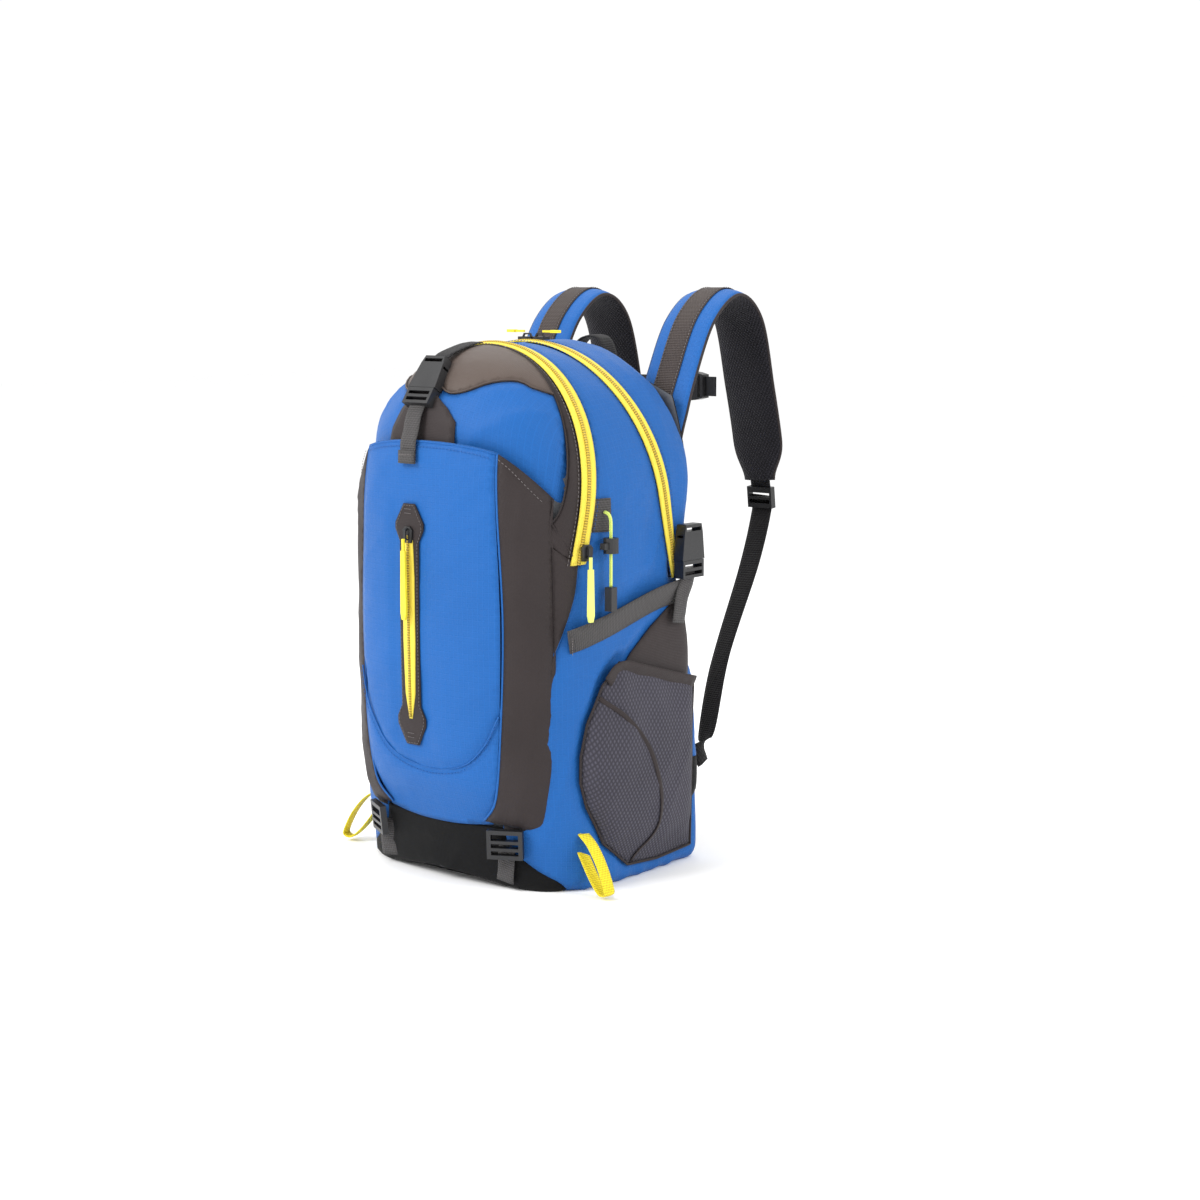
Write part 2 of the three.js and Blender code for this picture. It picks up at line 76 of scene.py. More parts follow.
def run_length(points):
    """distance along a line up to each of its points"""
    return np.concatenate([[0], np.cumsum(np.linalg.norm(np.diff(points, axis=0), axis=1))])


def on(chart, line, grow):
    """points of the bag's surface above a line of chart coordinates"""
    return chart(line[:, 0], line[:, 1], np.zeros(len(line)) + grow)


def section(s, grow):
    """half width, top, bottom, corner radius and spring height of the cross-section at depth s"""
    reach, front = np.abs(s), s < 0
    width = np.where(front, HALF_WIDTH * (1 - reach**4) ** WIDTH_POWER,
                     HALF_WIDTH * (1 - reach**14) ** 0.25)
    drop = np.where(front, 120 * (1 - (1 - reach**4) ** WIDTH_POWER), 30 * reach**5)
    lift = 12 * np.maximum(0, (reach - 0.75) / 0.25) ** 2
    half, top, bottom = width + grow, HEIGHT - drop + grow, lift - grow
    corner = np.minimum(BASE_CORNER, half * 0.6)
    rise = half * (1 + np.where(front, 0.4 * reach**2, 0))
    return half, top, bottom, corner, top - rise


def depth_at(s, z, grow):
    """the y of a point at depth s and height z"""
    waist = 34 * np.exp(-(((z - 280) / 90) ** 2)) + 10 * smooth(z, 150, 420)
    taper = 14 * (1 - smooth(z, 0, 160))
    return np.where(s < 0, s * (FRONT_DEPTH + grow) + taper * s**2, s * (BACK_DEPTH + grow) - waist * s**2)


# v runs round the bag's plan from the centre of the front to the centre of the back
PLAN_S = np.concatenate([-np.cos(np.linspace(0, math.pi / 2, 400)) * PLAN_END,
                         np.sin(np.linspace(0, math.pi / 2, 400))[1:] * PLAN_END])
_plan_x = section(PLAN_S, 0.0)[0]
_plan_y = PLAN_S * np.where(PLAN_S < 0, FRONT_DEPTH, BACK_DEPTH)
PLAN_V = np.concatenate([[0], np.cumsum(np.hypot(np.diff(_plan_x), np.diff(_plan_y)))]) + _plan_x[0]
BACK_V = float(PLAN_V[-1] + _plan_x[-1])


def ring_point(v, h, grow):
    """surface point at plan arc v and ring height h: 0 at the base corner, CROWN on top"""
    s = np.interp(v, PLAN_V, PLAN_S)
    half, top, bottom, corner, spring = section(s, grow)
    k = np.where(h > CROWN, 2 * CROWN - h, h)
    low = np.clip(k / SIDE_LOW, 0, 1) * math.pi / 2
    side = np.clip((k - SIDE_LOW) / (SIDE_TOP - SIDE_LOW), 0, 1)
    arch = np.clip((k - SIDE_TOP) / (CROWN - SIDE_TOP), 0, 1) * math.pi / 2
    under = np.clip(1 + k / 100, 0, 1)
    x = np.where(k < 0, (half - corner) * under, half - corner + corner * np.sin(low))
    x = np.where(k > SIDE_TOP, half * np.cos(arch), x)
    z = bottom + corner - corner * np.cos(low)
    z = z + side * (spring - bottom - corner) + (top - spring) * np.sin(arch)
    y = depth_at(s, z, grow)
    return np.stack([np.where(h > CROWN, -x, x), y, z], 1)


def front_point(x, z, grow):
    """surface point of the front face above a point of the x-z plane"""
    low, high = np.zeros_like(x), np.full_like(x, PLAN_END)
    for _ in range(24):
        mid = (low + high) / 2
        half, top, bottom, corner, spring = section(-mid, grow)
        foot = np.clip((bottom + corner - z) / corner, 0, 1)
        cap = np.clip((z - spring) / (top - spring), 0, 1)
        reach = np.where(z < bottom + corner, half - corner + corner * np.sqrt(1 - foot**2), half)
        reach = np.where(z > spring, half * np.sqrt(1 - cap**2), reach)
        inside = (reach > np.abs(x)) & (z > bottom) & (z < top)
        low, high = np.where(inside, mid, low), np.where(inside, high, mid)
    return np.stack([x, depth_at(-low, z, grow), z], 1)


def back_point(x, z, grow):
    """surface point of the back face above a point of the x-z plane"""
    near = 0.99 * (np.clip(1 - (np.abs(x) / (HALF_WIDTH + grow)) ** 4, 0, 1)) ** (1 / 14)
    high = np.clip((z - 440) / 60, 0, 1) ** 3 * 0.2
    return np.stack([x, depth_at(near * (1 - high), z, grow), z], 1)


def depth_of(y, z):
    """the section parameter s of a side point at its real y and height z"""
    y, z = np.asarray(y, float), np.asarray(z, float)
    s = np.where(y < 0, y / FRONT_DEPTH, y / BACK_DEPTH)
    for _ in range(12):
        shift = depth_at(s, z, 0.0) - s * np.where(s < 0, FRONT_DEPTH, BACK_DEPTH)
        s = np.clip((y - shift) / np.where(y < 0, FRONT_DEPTH, BACK_DEPTH), -PLAN_END, PLAN_END)
    return s


def ring_coordinates(s, z, grow):
    half, top, bottom, corner, spring = section(s, grow)
    side = SIDE_LOW + (z - bottom - corner) / (spring - bottom - corner) * (SIDE_TOP - SIDE_LOW)
    turn = np.arcsin(np.clip((z - spring) / (top - spring), 0, 1)) / (math.pi / 2)
    arch = SIDE_TOP + turn * (CROWN - SIDE_TOP)
    foot = np.arccos(np.clip((bottom + corner - z) / corner, 0, 1)) / (math.pi / 2) * SIDE_LOW
    h = np.where(z > spring, arch, np.where(z < bottom + corner, foot, side))
    return np.stack([np.interp(s, PLAN_S, PLAN_V), h], -1)


def ring_at(y, z):
    """ring coordinates of the side point at real y and height z"""
    z = np.asarray(z, float)
    return ring_coordinates(depth_of(y, z), z, 0.0)


def ring_from_front(line, grow):
    """ring coordinates of front points given as (x, z)"""
    solid = front_point(line[:, 0], line[:, 1], grow)
    s = depth_of(solid[:, 1] * FRONT_DEPTH / (FRONT_DEPTH + grow), solid[:, 2])
    return ring_coordinates(s, solid[:, 2], grow)


def ring_line(plane, heights):
    """ring coordinates where a plane y = plane(z) cuts the bag, at the given ring heights"""
    out = []
    for h in heights:
        z = 400.0
        for _ in range(30):
            v = float(np.interp(depth_of(plane(z), z), PLAN_S, PLAN_V))
            z = float(ring_point(np.array([v]), np.array([float(h)]), 0.0)[0, 2])
        out.append((v, h))
    return np.array(out)


def wrap_point(v, h, grow):
    """the ring chart carried round the front: negative v is the left side"""
    solid = ring_point(np.abs(v), h, grow)
    solid[:, 0] *= np.sign(v) * np.clip(np.abs(v) / PLAN_V[0], 0, 1)
    return solid


FAN_Y, FAN_Z, FAN_SCALE = -20.0, 330.0, 170.0


def fan_point(x, a, grow):
    """upper front and crown: rays fan out from a line inside the bag, a is their angle times FAN_SCALE"""
    angle = a / FAN_SCALE
    low, high = np.zeros_like(x), np.full_like(x, 260.0)
    for _ in range(26):
        mid = (low + high) / 2
        y, z = FAN_Y - mid * np.cos(angle), FAN_Z + mid * np.sin(angle)
        s = np.clip(y / (FRONT_DEPTH + grow), -1, 1)
        half, top, _, _, spring = section(s, grow)
        cap = np.clip((z - spring) / (top - spring), 0, 1)
        reach = np.where(z > spring, half * np.sqrt(1 - cap**2), half)
        inside = (reach > np.abs(x)) & (np.abs(s) < PLAN_END)
        low, high = np.where(inside, mid, low), np.where(inside, high, mid)
    return np.stack([x, FAN_Y - low * np.cos(angle), FAN_Z + low * np.sin(angle)], 1)


def fan_at(solid):
    """fan coordinates of points of the bag"""
    return np.stack([solid[:, 0], np.arctan2(solid[:, 2] - FAN_Z, FAN_Y - solid[:, 1]) * FAN_SCALE], 1)


def fan_front(points, grow=0.0):
    """fan coordinates of front points given as (x, z)"""
    points = np.asarray(points, float)
    return fan_at(front_point(points[:, 0], points[:, 1], grow))


def under_point(x, y, grow):
    """the bag's underside above (x, y)"""
    s = y / np.where(y < 0, FRONT_DEPTH, BACK_DEPTH)
    half, _, bottom, corner, _ = section(s, grow)
    over = np.clip(np.abs(x) - (half - corner), 0, corner * 0.999)
    z = bottom + corner - np.sqrt(corner**2 - over**2)
    return np.stack([x, depth_at(s, z, grow), z], 1)


# ---------- small numeric helpers ----------
def lattice_noise(u, w, scale, seed):
    """smooth value noise between 0 and 1"""
    grid = np.random.RandomState(seed).rand(64, 64)
    a, b = u / scale + 17.3, w / scale + 9.1
    i, j = np.floor(a).astype(int), np.floor(b).astype(int)
    fa, fb = a - i, b - j
    fa, fb = fa * fa * (3 - 2 * fa), fb * fb * (3 - 2 * fb)
    pick = lambda p, q: grid[p % 64, q % 64]
    low = pick(i, j) * (1 - fa) + pick(i + 1, j) * fa
    high = pick(i, j + 1) * (1 - fa) + pick(i + 1, j + 1) * fa
    return low * (1 - fb) + high * fb


def creases(u, w, seed, tilt=0.6, length=70.0, width=22.0):
    """long soft folds running along a tilted direction"""
    a = u * math.cos(tilt) + w * math.sin(tilt)
    b = -u * math.sin(tilt) + w * math.cos(tilt)
    long_fold = 1 - np.abs(2 * lattice_noise(a / length * 20, b / width * 20, 20, seed) - 1)
    return long_fold**2 - 0.35 + 0.4 * (lattice_noise(u, w, 16, seed + 5) - 0.5)


def smooth_line(points, step=5.0):
    """a Catmull-Rom line through points, with even steps"""
    pts = np.array(points, float)
    pad = np.vstack([2 * pts[0] - pts[1], pts, 2 * pts[-1] - pts[-2]])
    out = []
    for i in range(1, len(pad) - 2):
        p0, p1, p2, p3 = pad[i - 1:i + 3]
        n = max(2, int(np.linalg.norm(p2 - p1) / step))
        for t in np.arange(n) / n:
            out.append(0.5 * (2 * p1 + (p2 - p0) * t + (2 * p0 - 5 * p1 + 4 * p2 - p3) * t**2
                              + (3 * p1 - p0 - 3 * p2 + p3) * t**3))
    out.append(pts[-1])
    return np.array(out)


def straight_line(points, step=5.0):
    pts = np.array(points, float)
    out = []
    for p, q in zip(pts[:-1], pts[1:]):
        n = max(1, int(np.linalg.norm(q - p) / step))
        out += [p + (q - p) * t for t in np.arange(n) / n]
    out.append(pts[-1])
    return np.array(out)


def joined(*lines):
    """a closed outline from lines laid end to end"""
    out = [lines[0][0]]
    for line in lines:
        for p in line:
            if np.linalg.norm(p - out[-1]) > 0.5:
                out.append(p)
    if np.linalg.norm(out[0] - out[-1]) < 0.5:
        out.pop()
    return np.array(out)


def edge_distance_line(points, line):
    best = np.full(len(points), 1e9)
    for p, q in zip(line[:-1], line[1:]):
        d = q - p
        t = np.clip(((points - p) @ d) / max(d @ d, 1e-9), 0, 1)
        best = np.minimum(best, np.hypot(*(points - p - t[:, None] * d).T))
    return best


def edge_distance(points, outline):
    return edge_distance_line(points, np.vstack([outline, outline[:1]]))


def inside_outline(points, outline):
    x, y = points.T
    inside = np.zeros(len(points), bool)
    for (x0, y0), (x1, y1) in zip(outline, np.roll(outline, -1, axis=0)):
        crosses = (y0 > y) != (y1 > y)
        with np.errstate(divide="ignore", invalid="ignore"):
            inside ^= crosses & (x < (x1 - x0) * (y - y0) / (y1 - y0) + x0)
    return inside


# ---------- mesh building ----------
def skin_faces(rows, count):
    """quads between rings of count points, without the end caps"""
    faces = []
    for i in range(rows - 1):
        for k in range(count):
            a, b = i * count + k, i * count + (k + 1) % count
            faces.append((a, b, b + count, a + count))
    return faces


def end_caps(rows, count):
    return [tuple(range(count))[::-1], tuple(range((rows - 1) * count, rows * count))]


def new_object(name, verts, faces, uvs=None, materials=(), face_material=None):
    mesh = bpy.data.meshes.new(name)
    mesh.from_pydata((np.asarray(verts) * MM).tolist(), [], [list(map(int, f)) for f in faces])
    if uvs is not None:
        layer = mesh.uv_layers.new(name="UVMap")
        loop_verts = np.zeros(len(mesh.loops), int)
        mesh.loops.foreach_get("vertex_index", loop_verts)
        layer.data.foreach_set("uv", np.asarray(uvs, float)[loop_verts].ravel() * MM)
    for material in materials:
        mesh.materials.append(material)
    if face_material is not None:
        mesh.polygons.foreach_set("material_index", face_material)
    mesh.polygons.foreach_set("use_smooth", [True] * len(mesh.polygons))
    mesh.update()
    obj = bpy.data.objects.new(name, mesh)
    bpy.context.scene.collection.objects.link(obj)
    return obj


def apply_modifiers(obj):
    graph = bpy.context.evaluated_depsgraph_get()
    mesh = bpy.data.meshes.new_from_object(obj.evaluated_get(graph))
    obj.modifiers.clear()
    obj.data = mesh


def thicken(obj, thick):
    mod = obj.modifiers.new("cloth", "SOLIDIFY")
    mod.thickness = thick * MM
    mod.offset = -1
    mod.material_offset = 1 if len(obj.data.materials) > 1 else 0
    apply_modifiers(obj)


def panel(name, outline, chart, grow, materials, puff=2.0, soft=16.0, wrinkle=0.8, seed=1, tilt=0.6,
          thick=1.4,
          step=5.0, shape=None):
    """a piece of cloth cut to an outline on one of the charts, crowned between its seams"""
    low, high = outline.min(0), outline.max(0)
    u, w = np.meshgrid(np.arange(low[0], high[0], step), np.arange(low[1], high[1], step * 0.87),
                       indexing="ij")
    u = u + (np.arange(u.shape[1]) % 2) * step / 2
    grid = np.stack([u.ravel(), w.ravel()], 1)
    grid = grid[inside_outline(grid, outline)]
    grid = grid[edge_distance(grid, outline) > step * 0.55]
    points = np.vstack([outline, grid])
    loop = list(range(len(outline)))
    verts, _, faces, _, _, _ = delaunay_2d_cdt([Vector(p) for p in points], [], [loop], 1, 1e-5)
    flat = np.array([tuple(v) for v in verts])
    away = edge_distance(flat, outline)
    rise = grow(flat) if callable(grow) else np.full(len(flat), float(grow))
    rise = rise + puff * (1 - np.exp(-away / soft))
    rise = rise + wrinkle * creases(flat[:, 0], flat[:, 1], seed, tilt) * (1 - np.exp(-away / 9))
    if shape is not None:
        rise = rise + shape(flat, away)
    solid = on(chart, flat, rise)
    tri = np.array([f for f in faces if len(f) == 3])
    centre = solid.mean(0) * [0.3, 0.3, 1]
    a, b, c = solid[tri[:, 0]], solid[tri[:, 1]], solid[tri[:, 2]]
    outward = (np.cross(b - a, c - a) * ((a + b + c) / 3 - centre)).sum()
    if outward < 0:
        tri = tri[:, ::-1]
    obj = new_object(name, solid, tri, flat, materials)
    if thick:
        thicken(obj, thick)
    return obj


def tube(name, points, radius, material, sides=8):
    """a round cord along points"""
    pts = np.asarray(points, float)
    along = tangents(pts)
    side = np.cross(along[0], [0.3, 0.2, 1.0])
    verts, uvs = [], []
    length = run_length(pts)
    for p, t, run in zip(pts, along, length):
        side = side - (side @ t) * t
        side /= np.linalg.norm(side)
        up = np.cross(t, side)
        for k in range(sides):
            angle = 2 * math.pi * k / sides
            verts.append(p + radius * (side * math.cos(angle) + up * math.sin(angle)))
            uvs.append((k * 2 * math.pi * radius / sides, run))
    faces = skin_faces(len(pts), sides) + end_caps(len(pts), sides)
    return new_object(name, verts, faces, uvs, [material])


def stitches(name, points, material, stitch=3.2, gap=1.6, radius=0.42):
    """a row of thread stitches along points that lie on the cloth"""
    pts = np.asarray(points, float)
    length = run_length(pts)
    verts, faces = [], []
    for start in np.arange(0, length[-1] - stitch, stitch + gap):
        p = np.array([np.interp(start, length, pts[:, k]) for k in range(3)])
        q = np.array([np.interp(start + stitch, length, pts[:, k]) for k in range(3)])
        along = (q - p) / np.linalg.norm(q - p)
        side = np.cross(along, [0.31, 0.17, 0.93])
        side /= np.linalg.norm(side)
        up = np.cross(along, side)
        base = len(verts)
        for end in (p, q):
            for k in range(4):
                angle = math.pi / 2 * k
                verts.append(end + radius * (side * math.cos(angle) + up * math.sin(angle)))
        for k in range(4):
            m = (k + 1) % 4
            faces.append((base + k, base + m, base + 4 + m, base + 4 + k))
        faces += [(base + 3, base + 2, base + 1, base), (base + 4, base + 5, base + 6, base + 7)]
    return new_object(name, verts, faces, [(v[0], v[2]) for v in verts], [material])


def webbing(name, points, normals, width, thick, materials, columns=6):
    """flat woven strap along points; normals give the way its face looks"""
    pts, ups = np.asarray(points, float), np.asarray(normals, float)
    along = tangents(pts)
    side = np.cross(along, ups)
    side = unit(side)
    up = np.cross(side, along)
    widths = np.broadcast_to(width, len(pts))
    length = run_length(pts)
    across = np.linspace(-0.5, 0.5, columns)
    ring = [(a, 0.5) for a in across] + [(a, -0.5) for a in across[::-1]]
    verts, uvs = [], []
    for p, s, n, w, run in zip(pts, side, up, widths, length):
        for a, b in ring:
            verts.append(p + s * a * w + n * b * thick * (1 if abs(a) < 0.49 else 0.5))
            uvs.append((a * w, run))
    count = len(ring)
    faces = []
    for i in range(len(pts) - 1):
        for k in range(count):
            a, b = i * count + k, i * count + (k + 1) % count
            faces.append((a, a + count, b + count, b))
    faces.append(tuple(range(count)))
    faces.append(tuple(range((len(pts) - 1) * count, len(pts) * count))[::-1])
    return new_object(name, verts, faces, uvs, materials)


def surface_strip(name, line, chart, half, grow, materials, rows=4, bulge=0.0):
    """a strip lying on the bag along a line of chart coordinates"""
    line = np.asarray(line, float)
    along = tangents(line)
    across = np.stack([along[:, 1], -along[:, 0]], 1)
    low, high = half if isinstance(half, tuple) else (-half, half)
    offsets = np.linspace(low, high, rows)
    length = run_length(line)
    verts, uvs = [], []
    for p, s, run in zip(line, across, length):
        flat = p + offsets[:, None] * s
        crown = bulge * (1 - (2 * (offsets - low) / (high - low) - 1) ** 2)
        verts.append(on(chart, flat, grow + crown))
        uvs += [(o, run) for o in offsets]
    verts = np.vstack(verts)
    faces = []
    for i in range(len(line) - 1):
        for k in range(rows - 1):
            a = i * rows + k
            faces.append((a, a + 1, a + 1 + rows, a + rows))
    obj = new_object(name, verts, faces, uvs, materials)
    first = obj.data.polygons[len(faces) // 2]
    if first.normal.dot(Vector(first.center) - Vector((0, 0, first.center.z * 0.8))) < 0:
        obj.data.flip_normals()
    return obj


def mirror_copy(obj, name):
    """the same piece on the wearer's left"""
    mesh = obj.data.copy()
    mesh.name = name
    co = np.zeros(len(mesh.vertices) * 3)
    mesh.vertices.foreach_get("co", co)
    co = co.reshape(-1, 3) * [-1, 1, 1]
    mesh.vertices.foreach_set("co", co.ravel())
    mesh.flip_normals()
    mesh.update()
    copy = bpy.data.objects.new(name, mesh)
    bpy.context.scene.collection.objects.link(copy)
    return copy


# ---------- materials ----------
class Nodes:
    """a material with a Principled shader and a few helpers to wire it"""

    def __init__(self, name, color, roughness, sheen=0.0):
        self.material = bpy.data.materials.new(name)
        self.material.use_nodes = True
        self.tree = self.material.node_tree
        self.shader = self.tree.nodes["Principled BSDF"]
        self.shader.inputs["Base Color"].default_value = (*color, 1)
        self.shader.inputs["Roughness"].default_value = roughness
        self.shader.inputs["Sheen Weight"].default_value = sheen
        if sheen:
            self.shader.inputs["Specular IOR Level"].default_value = 0.15
        self.color = color

    def node(self, kind, **settings):
        made = self.tree.nodes.new(kind)
        for key, value in settings.items():
            if hasattr(made, key):
                setattr(made, key, value)
            else:
                made.inputs[key].default_value = value
        return made

    def link(self, source, target):
        self.tree.links.new(source, target)

    def math(self, operation, a, b=None):
        made = self.node("ShaderNodeMath", operation=operation)
        for socket, value in zip(made.inputs, (a, b)):
            if value is None:
                continue
            if isinstance(value, (int, float)):
                socket.default_value = value
            else:
                self.link(value, socket)
        return made.outputs[0]

    def times(self, a, b):
        return self.math("MULTIPLY", a, b)

    def plus(self, a, b):
        return self.math("ADD", a, b)

    def uv(self):
        place = self.node("ShaderNodeUVMap", uv_map="UVMap")
        split = self.node("ShaderNodeSeparateXYZ")
        self.link(place.outputs["UV"], split.inputs[0])
        return split.outputs["X"], split.outputs["Y"]

    def noise(self, scale, detail=3.0):
        place = self.node("ShaderNodeTexCoord")
        made = self.node("ShaderNodeTexNoise", Scale=scale, Detail=detail)
        self.link(place.outputs["Object"], made.inputs["Vector"])
        return made.outputs[0]

    def lines(self, coordinate, period, width):
        """1 on thin lines that repeat every period metres"""
        turn = self.math("FRACT", self.times(coordinate, 1 / period))
        return self.math("LESS_THAN", turn, width)

    def wave(self, coordinate, period):
        turn = self.times(coordinate, 2 * math.pi / period)
        return self.plus(self.times(self.math("SINE", turn), 0.5), 0.5)

    def tint(self, factor, low, high):
        """base colour between two multiples of the material's colour"""
        mix = self.node("ShaderNodeMix", data_type="RGBA")
        mix.inputs["A"].default_value = (*[min(1, c * low) for c in self.color], 1)
        mix.inputs["B"].default_value = (*[min(1, c * high) for c in self.color], 1)
        self.link(factor, mix.inputs["Factor"])
        self.link(mix.outputs["Result"], self.shader.inputs["Base Color"])
        return mix

    def bump(self, height, distance, strength=1.0):
        made = self.node("ShaderNodeBump", Strength=strength, Distance=distance)
        self.link(height, made.inputs["Height"])
        self.link(made.outputs[0], self.shader.inputs["Normal"])


def ripstop(name, color, roughness=0.5, grid=0.0052, contrast=0.1):
    m = Nodes(name, color, roughness, 0.04)
    x, y = m.uv()
    lines = m.math("MAXIMUM", m.lines(x, grid, 0.16), m.lines(y, grid, 0.16))
    weave = m.times(m.wave(x, 0.0011), m.wave(y, 0.0011))
    patches = m.noise(9, 4)
    value = m.plus(m.times(lines, 0.30), m.times(patches, 0.62))
    m.tint(value, 1 - contrast * 1.4, 1 + contrast * 1.8)
    height = m.plus(m.times(lines, 0.5), m.times(weave, 0.35))
    crumple = m.noise(70, 5)
    m.bump(m.plus(height, m.times(crumple, 1.6)), 0.0004)
    rough = m.plus(m.times(patches, 0.2), roughness - 0.1)
    m.link(rough, m.shader.inputs["Roughness"])
    return m.material


def plain_cloth(name, color, roughness=0.6, period=0.0014):
    m = Nodes(name, color, roughness, 0.03)
    x, y = m.uv()
    weave = m.times(m.wave(x, period), m.wave(y, period))
    patches = m.noise(11, 5)
    m.tint(patches, 0.72, 1.32)
    height = m.plus(m.times(weave, 0.4), m.times(m.noise(60, 5), 1.8))
    m.bump(height, 0.0004)
    m.link(m.plus(m.times(patches, 0.24), roughness - 0.12), m.shader.inputs["Roughness"])
    return m.material


def open_mesh(name, color, cell=0.0042, depth=0.0007, light=1.9):
    """knitted mesh: staggered rows of dark holes between lighter threads"""
    m = Nodes(name, color, 0.7, 0.05)
    x, y = m.uv()
    a = m.plus(x, m.times(y, 0.55))
    b = m.math("SUBTRACT", m.times(x, 0.8), m.times(y, 0.85))
    holes = m.times(m.wave(a, cell), m.wave(b, cell))
    patches = m.noise(14, 4)
    value = m.plus(m.times(m.math("POWER", holes, 0.7), 0.75), m.times(patches, 0.35))
    m.tint(value, 0.5, light)
    m.bump(holes, depth)
    return m.material


def ribbed(name, color, period=0.0021, roughness=0.62):
    """woven webbing: ribs across its length and a flat selvedge"""
    m = Nodes(name, color, roughness, 0.05)
    x, y = m.uv()
    ribs = m.wave(y, period)
    slant = m.wave(m.plus(x, m.times(y, 0.5)), 0.0034)
    patches = m.noise(24, 4)
    value = m.plus(m.times(ribs, 0.45),
                   m.plus(m.times(slant, 0.2), m.times(patches, 0.4)))
    m.tint(value, 0.62, 1.35)
    m.bump(m.plus(ribs, m.times(slant, 0.4)), 0.0005)
    return m.material


def zip_tape(name, color):
    m = Nodes(name, color, 0.55, 0.05)
    x, y = m.uv()
    herringbone = m.wave(m.plus(y, m.times(m.math("ABSOLUTE", x), 0.8)), 0.0013)
    patches = m.noise(20, 3)
    m.tint(m.plus(m.times(herringbone, 0.35), m.times(patches, 0.5)), 0.84, 1.12)
    m.bump(herringbone, 0.0003)
    return m.material


def zip_coil(name, color):
    m = Nodes(name, color, 0.42)
    x, y = m.uv()
    teeth = m.wave(y, 0.0024)
    m.tint(teeth, 0.45, 1.1)
    m.bump(teeth, 0.0009)
    return m.material


def moulded(name, color, roughness=0.38):
    m = Nodes(name, color, roughness)
    grain = m.noise(420, 4)
    wear = m.noise(30, 4)
    m.tint(wear, 0.7, 1.5)
    m.bump(grain, 0.00012)
    m.link(m.plus(m.times(wear, 0.2), roughness - 0.1), m.shader.inputs["Roughness"])
    return m.material


def braided(name, color):
    m = Nodes(name, color, 0.5, 0.05)
    x, y = m.uv()
    braid = m.times(m.wave(m.plus(y, x), 0.0022), m.wave(m.math("SUBTRACT", y, x), 0.0022))
    m.tint(m.math("POWER", braid, 0.5), 0.7, 1.12)
    m.bump(braid, 0.0004)
    return m.material


BLUE = ripstop("blue ripstop nylon", (0.0112, 0.1024, 0.3520), 0.46)
BLUE_PLAIN = ripstop("blue strap nylon", (0.0144, 0.1080, 0.3640), 0.5, 0.0052, 0.08)
DARK = plain_cloth("charcoal nylon", (0.0288, 0.0224, 0.0224), 0.5)
TAUPE = plain_cloth("taupe coated cloth", (0.0840, 0.0640, 0.0544), 0.42)
BLACK = plain_cloth("black base nylon", (0.0018, 0.0018, 0.0021), 0.7)
LINING = plain_cloth("grey lining", (0.11, 0.115, 0.125), 0.7)
POCKET_MESH = open_mesh("pocket mesh", (0.0440, 0.0416, 0.0544))
AIR_MESH = open_mesh("air mesh", (0.0096, 0.0088, 0.0120), 0.0034, 0.0011, 2.6)
WEB_GREY = ribbed("grey webbing", (0.0624, 0.0592, 0.0592))
WEB_BLACK = ribbed("black webbing", (0.0128, 0.0120, 0.0128))
WEB_YELLOW = ribbed("yellow webbing", (0.90, 0.64, 0.030), 0.0021, 0.5)
WEB_TAUPE = ribbed("taupe webbing", (0.0560, 0.0440, 0.0400), 0.0018)
TAPE_YELLOW = zip_tape("yellow zip tape", (0.90, 0.72, 0.085))
COIL_GOLD = zip_coil("golden zip coil", (0.66, 0.46, 0.045))
PLASTIC = moulded("black moulded plastic", (0.010, 0.010, 0.011))
PLASTIC_YELLOW = moulded("yellow moulded plastic", (0.86, 0.62, 0.03), 0.35)
PLASTIC_NEON = moulded("neon moulded plastic", (0.72, 0.86, 0.16), 0.4)
CORD_NEON = braided("neon cord", (0.74, 0.95, 0.20))
THREAD_BLUE = braided("blue thread", (0.02, 0.11, 0.38))
THREAD_GREY = braided("grey thread", (0.20, 0.18, 0.18))
SHEET = moulded("frame sheet plastic", (0.6, 0.6, 0.58), 0.5)


# ---------- the lines the cloth is cut along ----------
def arch_plane(z):
    return -48 - 36 * (HEIGHT - z) / 194


def main_plane(z):
    return 45 * (HEIGHT - z) / 216


def both_sides(right):
    """a ring line run up the right side, over the crown and down the left"""
    left = np.stack([right[:, 0], 2 * CROWN - right[:, 1]], 1)
    return np.vstack([right, left[::-1][1:] if abs(right[-1, 1] - CROWN) < 0.1 else left[::-1]])


def plane_line(plane, end_z, step=6.0):
    start = ring_at(plane(end_z), end_z)[1]
    return ring_line(plane, np.linspace(start, CROWN, int((CROWN - start) / step)))


ARCH = plane_line(arch_plane, 306)
MAIN = plane_line(main_plane, 284)
BAND_INNER = np.array([(float(np.interp(y / FRONT_DEPTH, PLAN_S, PLAN_V)), h) for y, h in
                       smooth_line([(-110, 352), (-106, 365), (-96, 381), (-80, 436), (-66, 500),
                                    (-60, 545),
                                    (-59, 580)], 4)])
BROWN_EDGE = smooth_line(ring_at(*np.array([(-84, 306), (-88, 275), (-100, 235), (-113, 195), (-122, 160),
                                            (-125, 122), (-125, 85), (-122, 60)]).T), 5)
BASE_EDGE = smooth_line(ring_at(*np.array([(-122, 60), (-119, 42), (-110, 24), (-98, 12), (-88, 3)]).T), 4)
STASH_SIDE = smooth_line([(80, 406), (84, 340), (88, 250), (85, 150), (78, 90), (66, 62)], 6)
STASH_SEAM = smooth_line([(-90, 196), (-84, 172), (-70, 148), (-44, 122), (0, 111), (44, 117), (70, 138),
                          (86, 168)], 5)
STASH_TOP = smooth_line([(-80, 406), (-56, 411), (-20, 414), (20, 414), (56, 411), (80, 406)], 6)
STASH_FOOT = smooth_line([(66, 62), (30, 58), (0, 57), (-30, 58), (-66, 62)], 6)
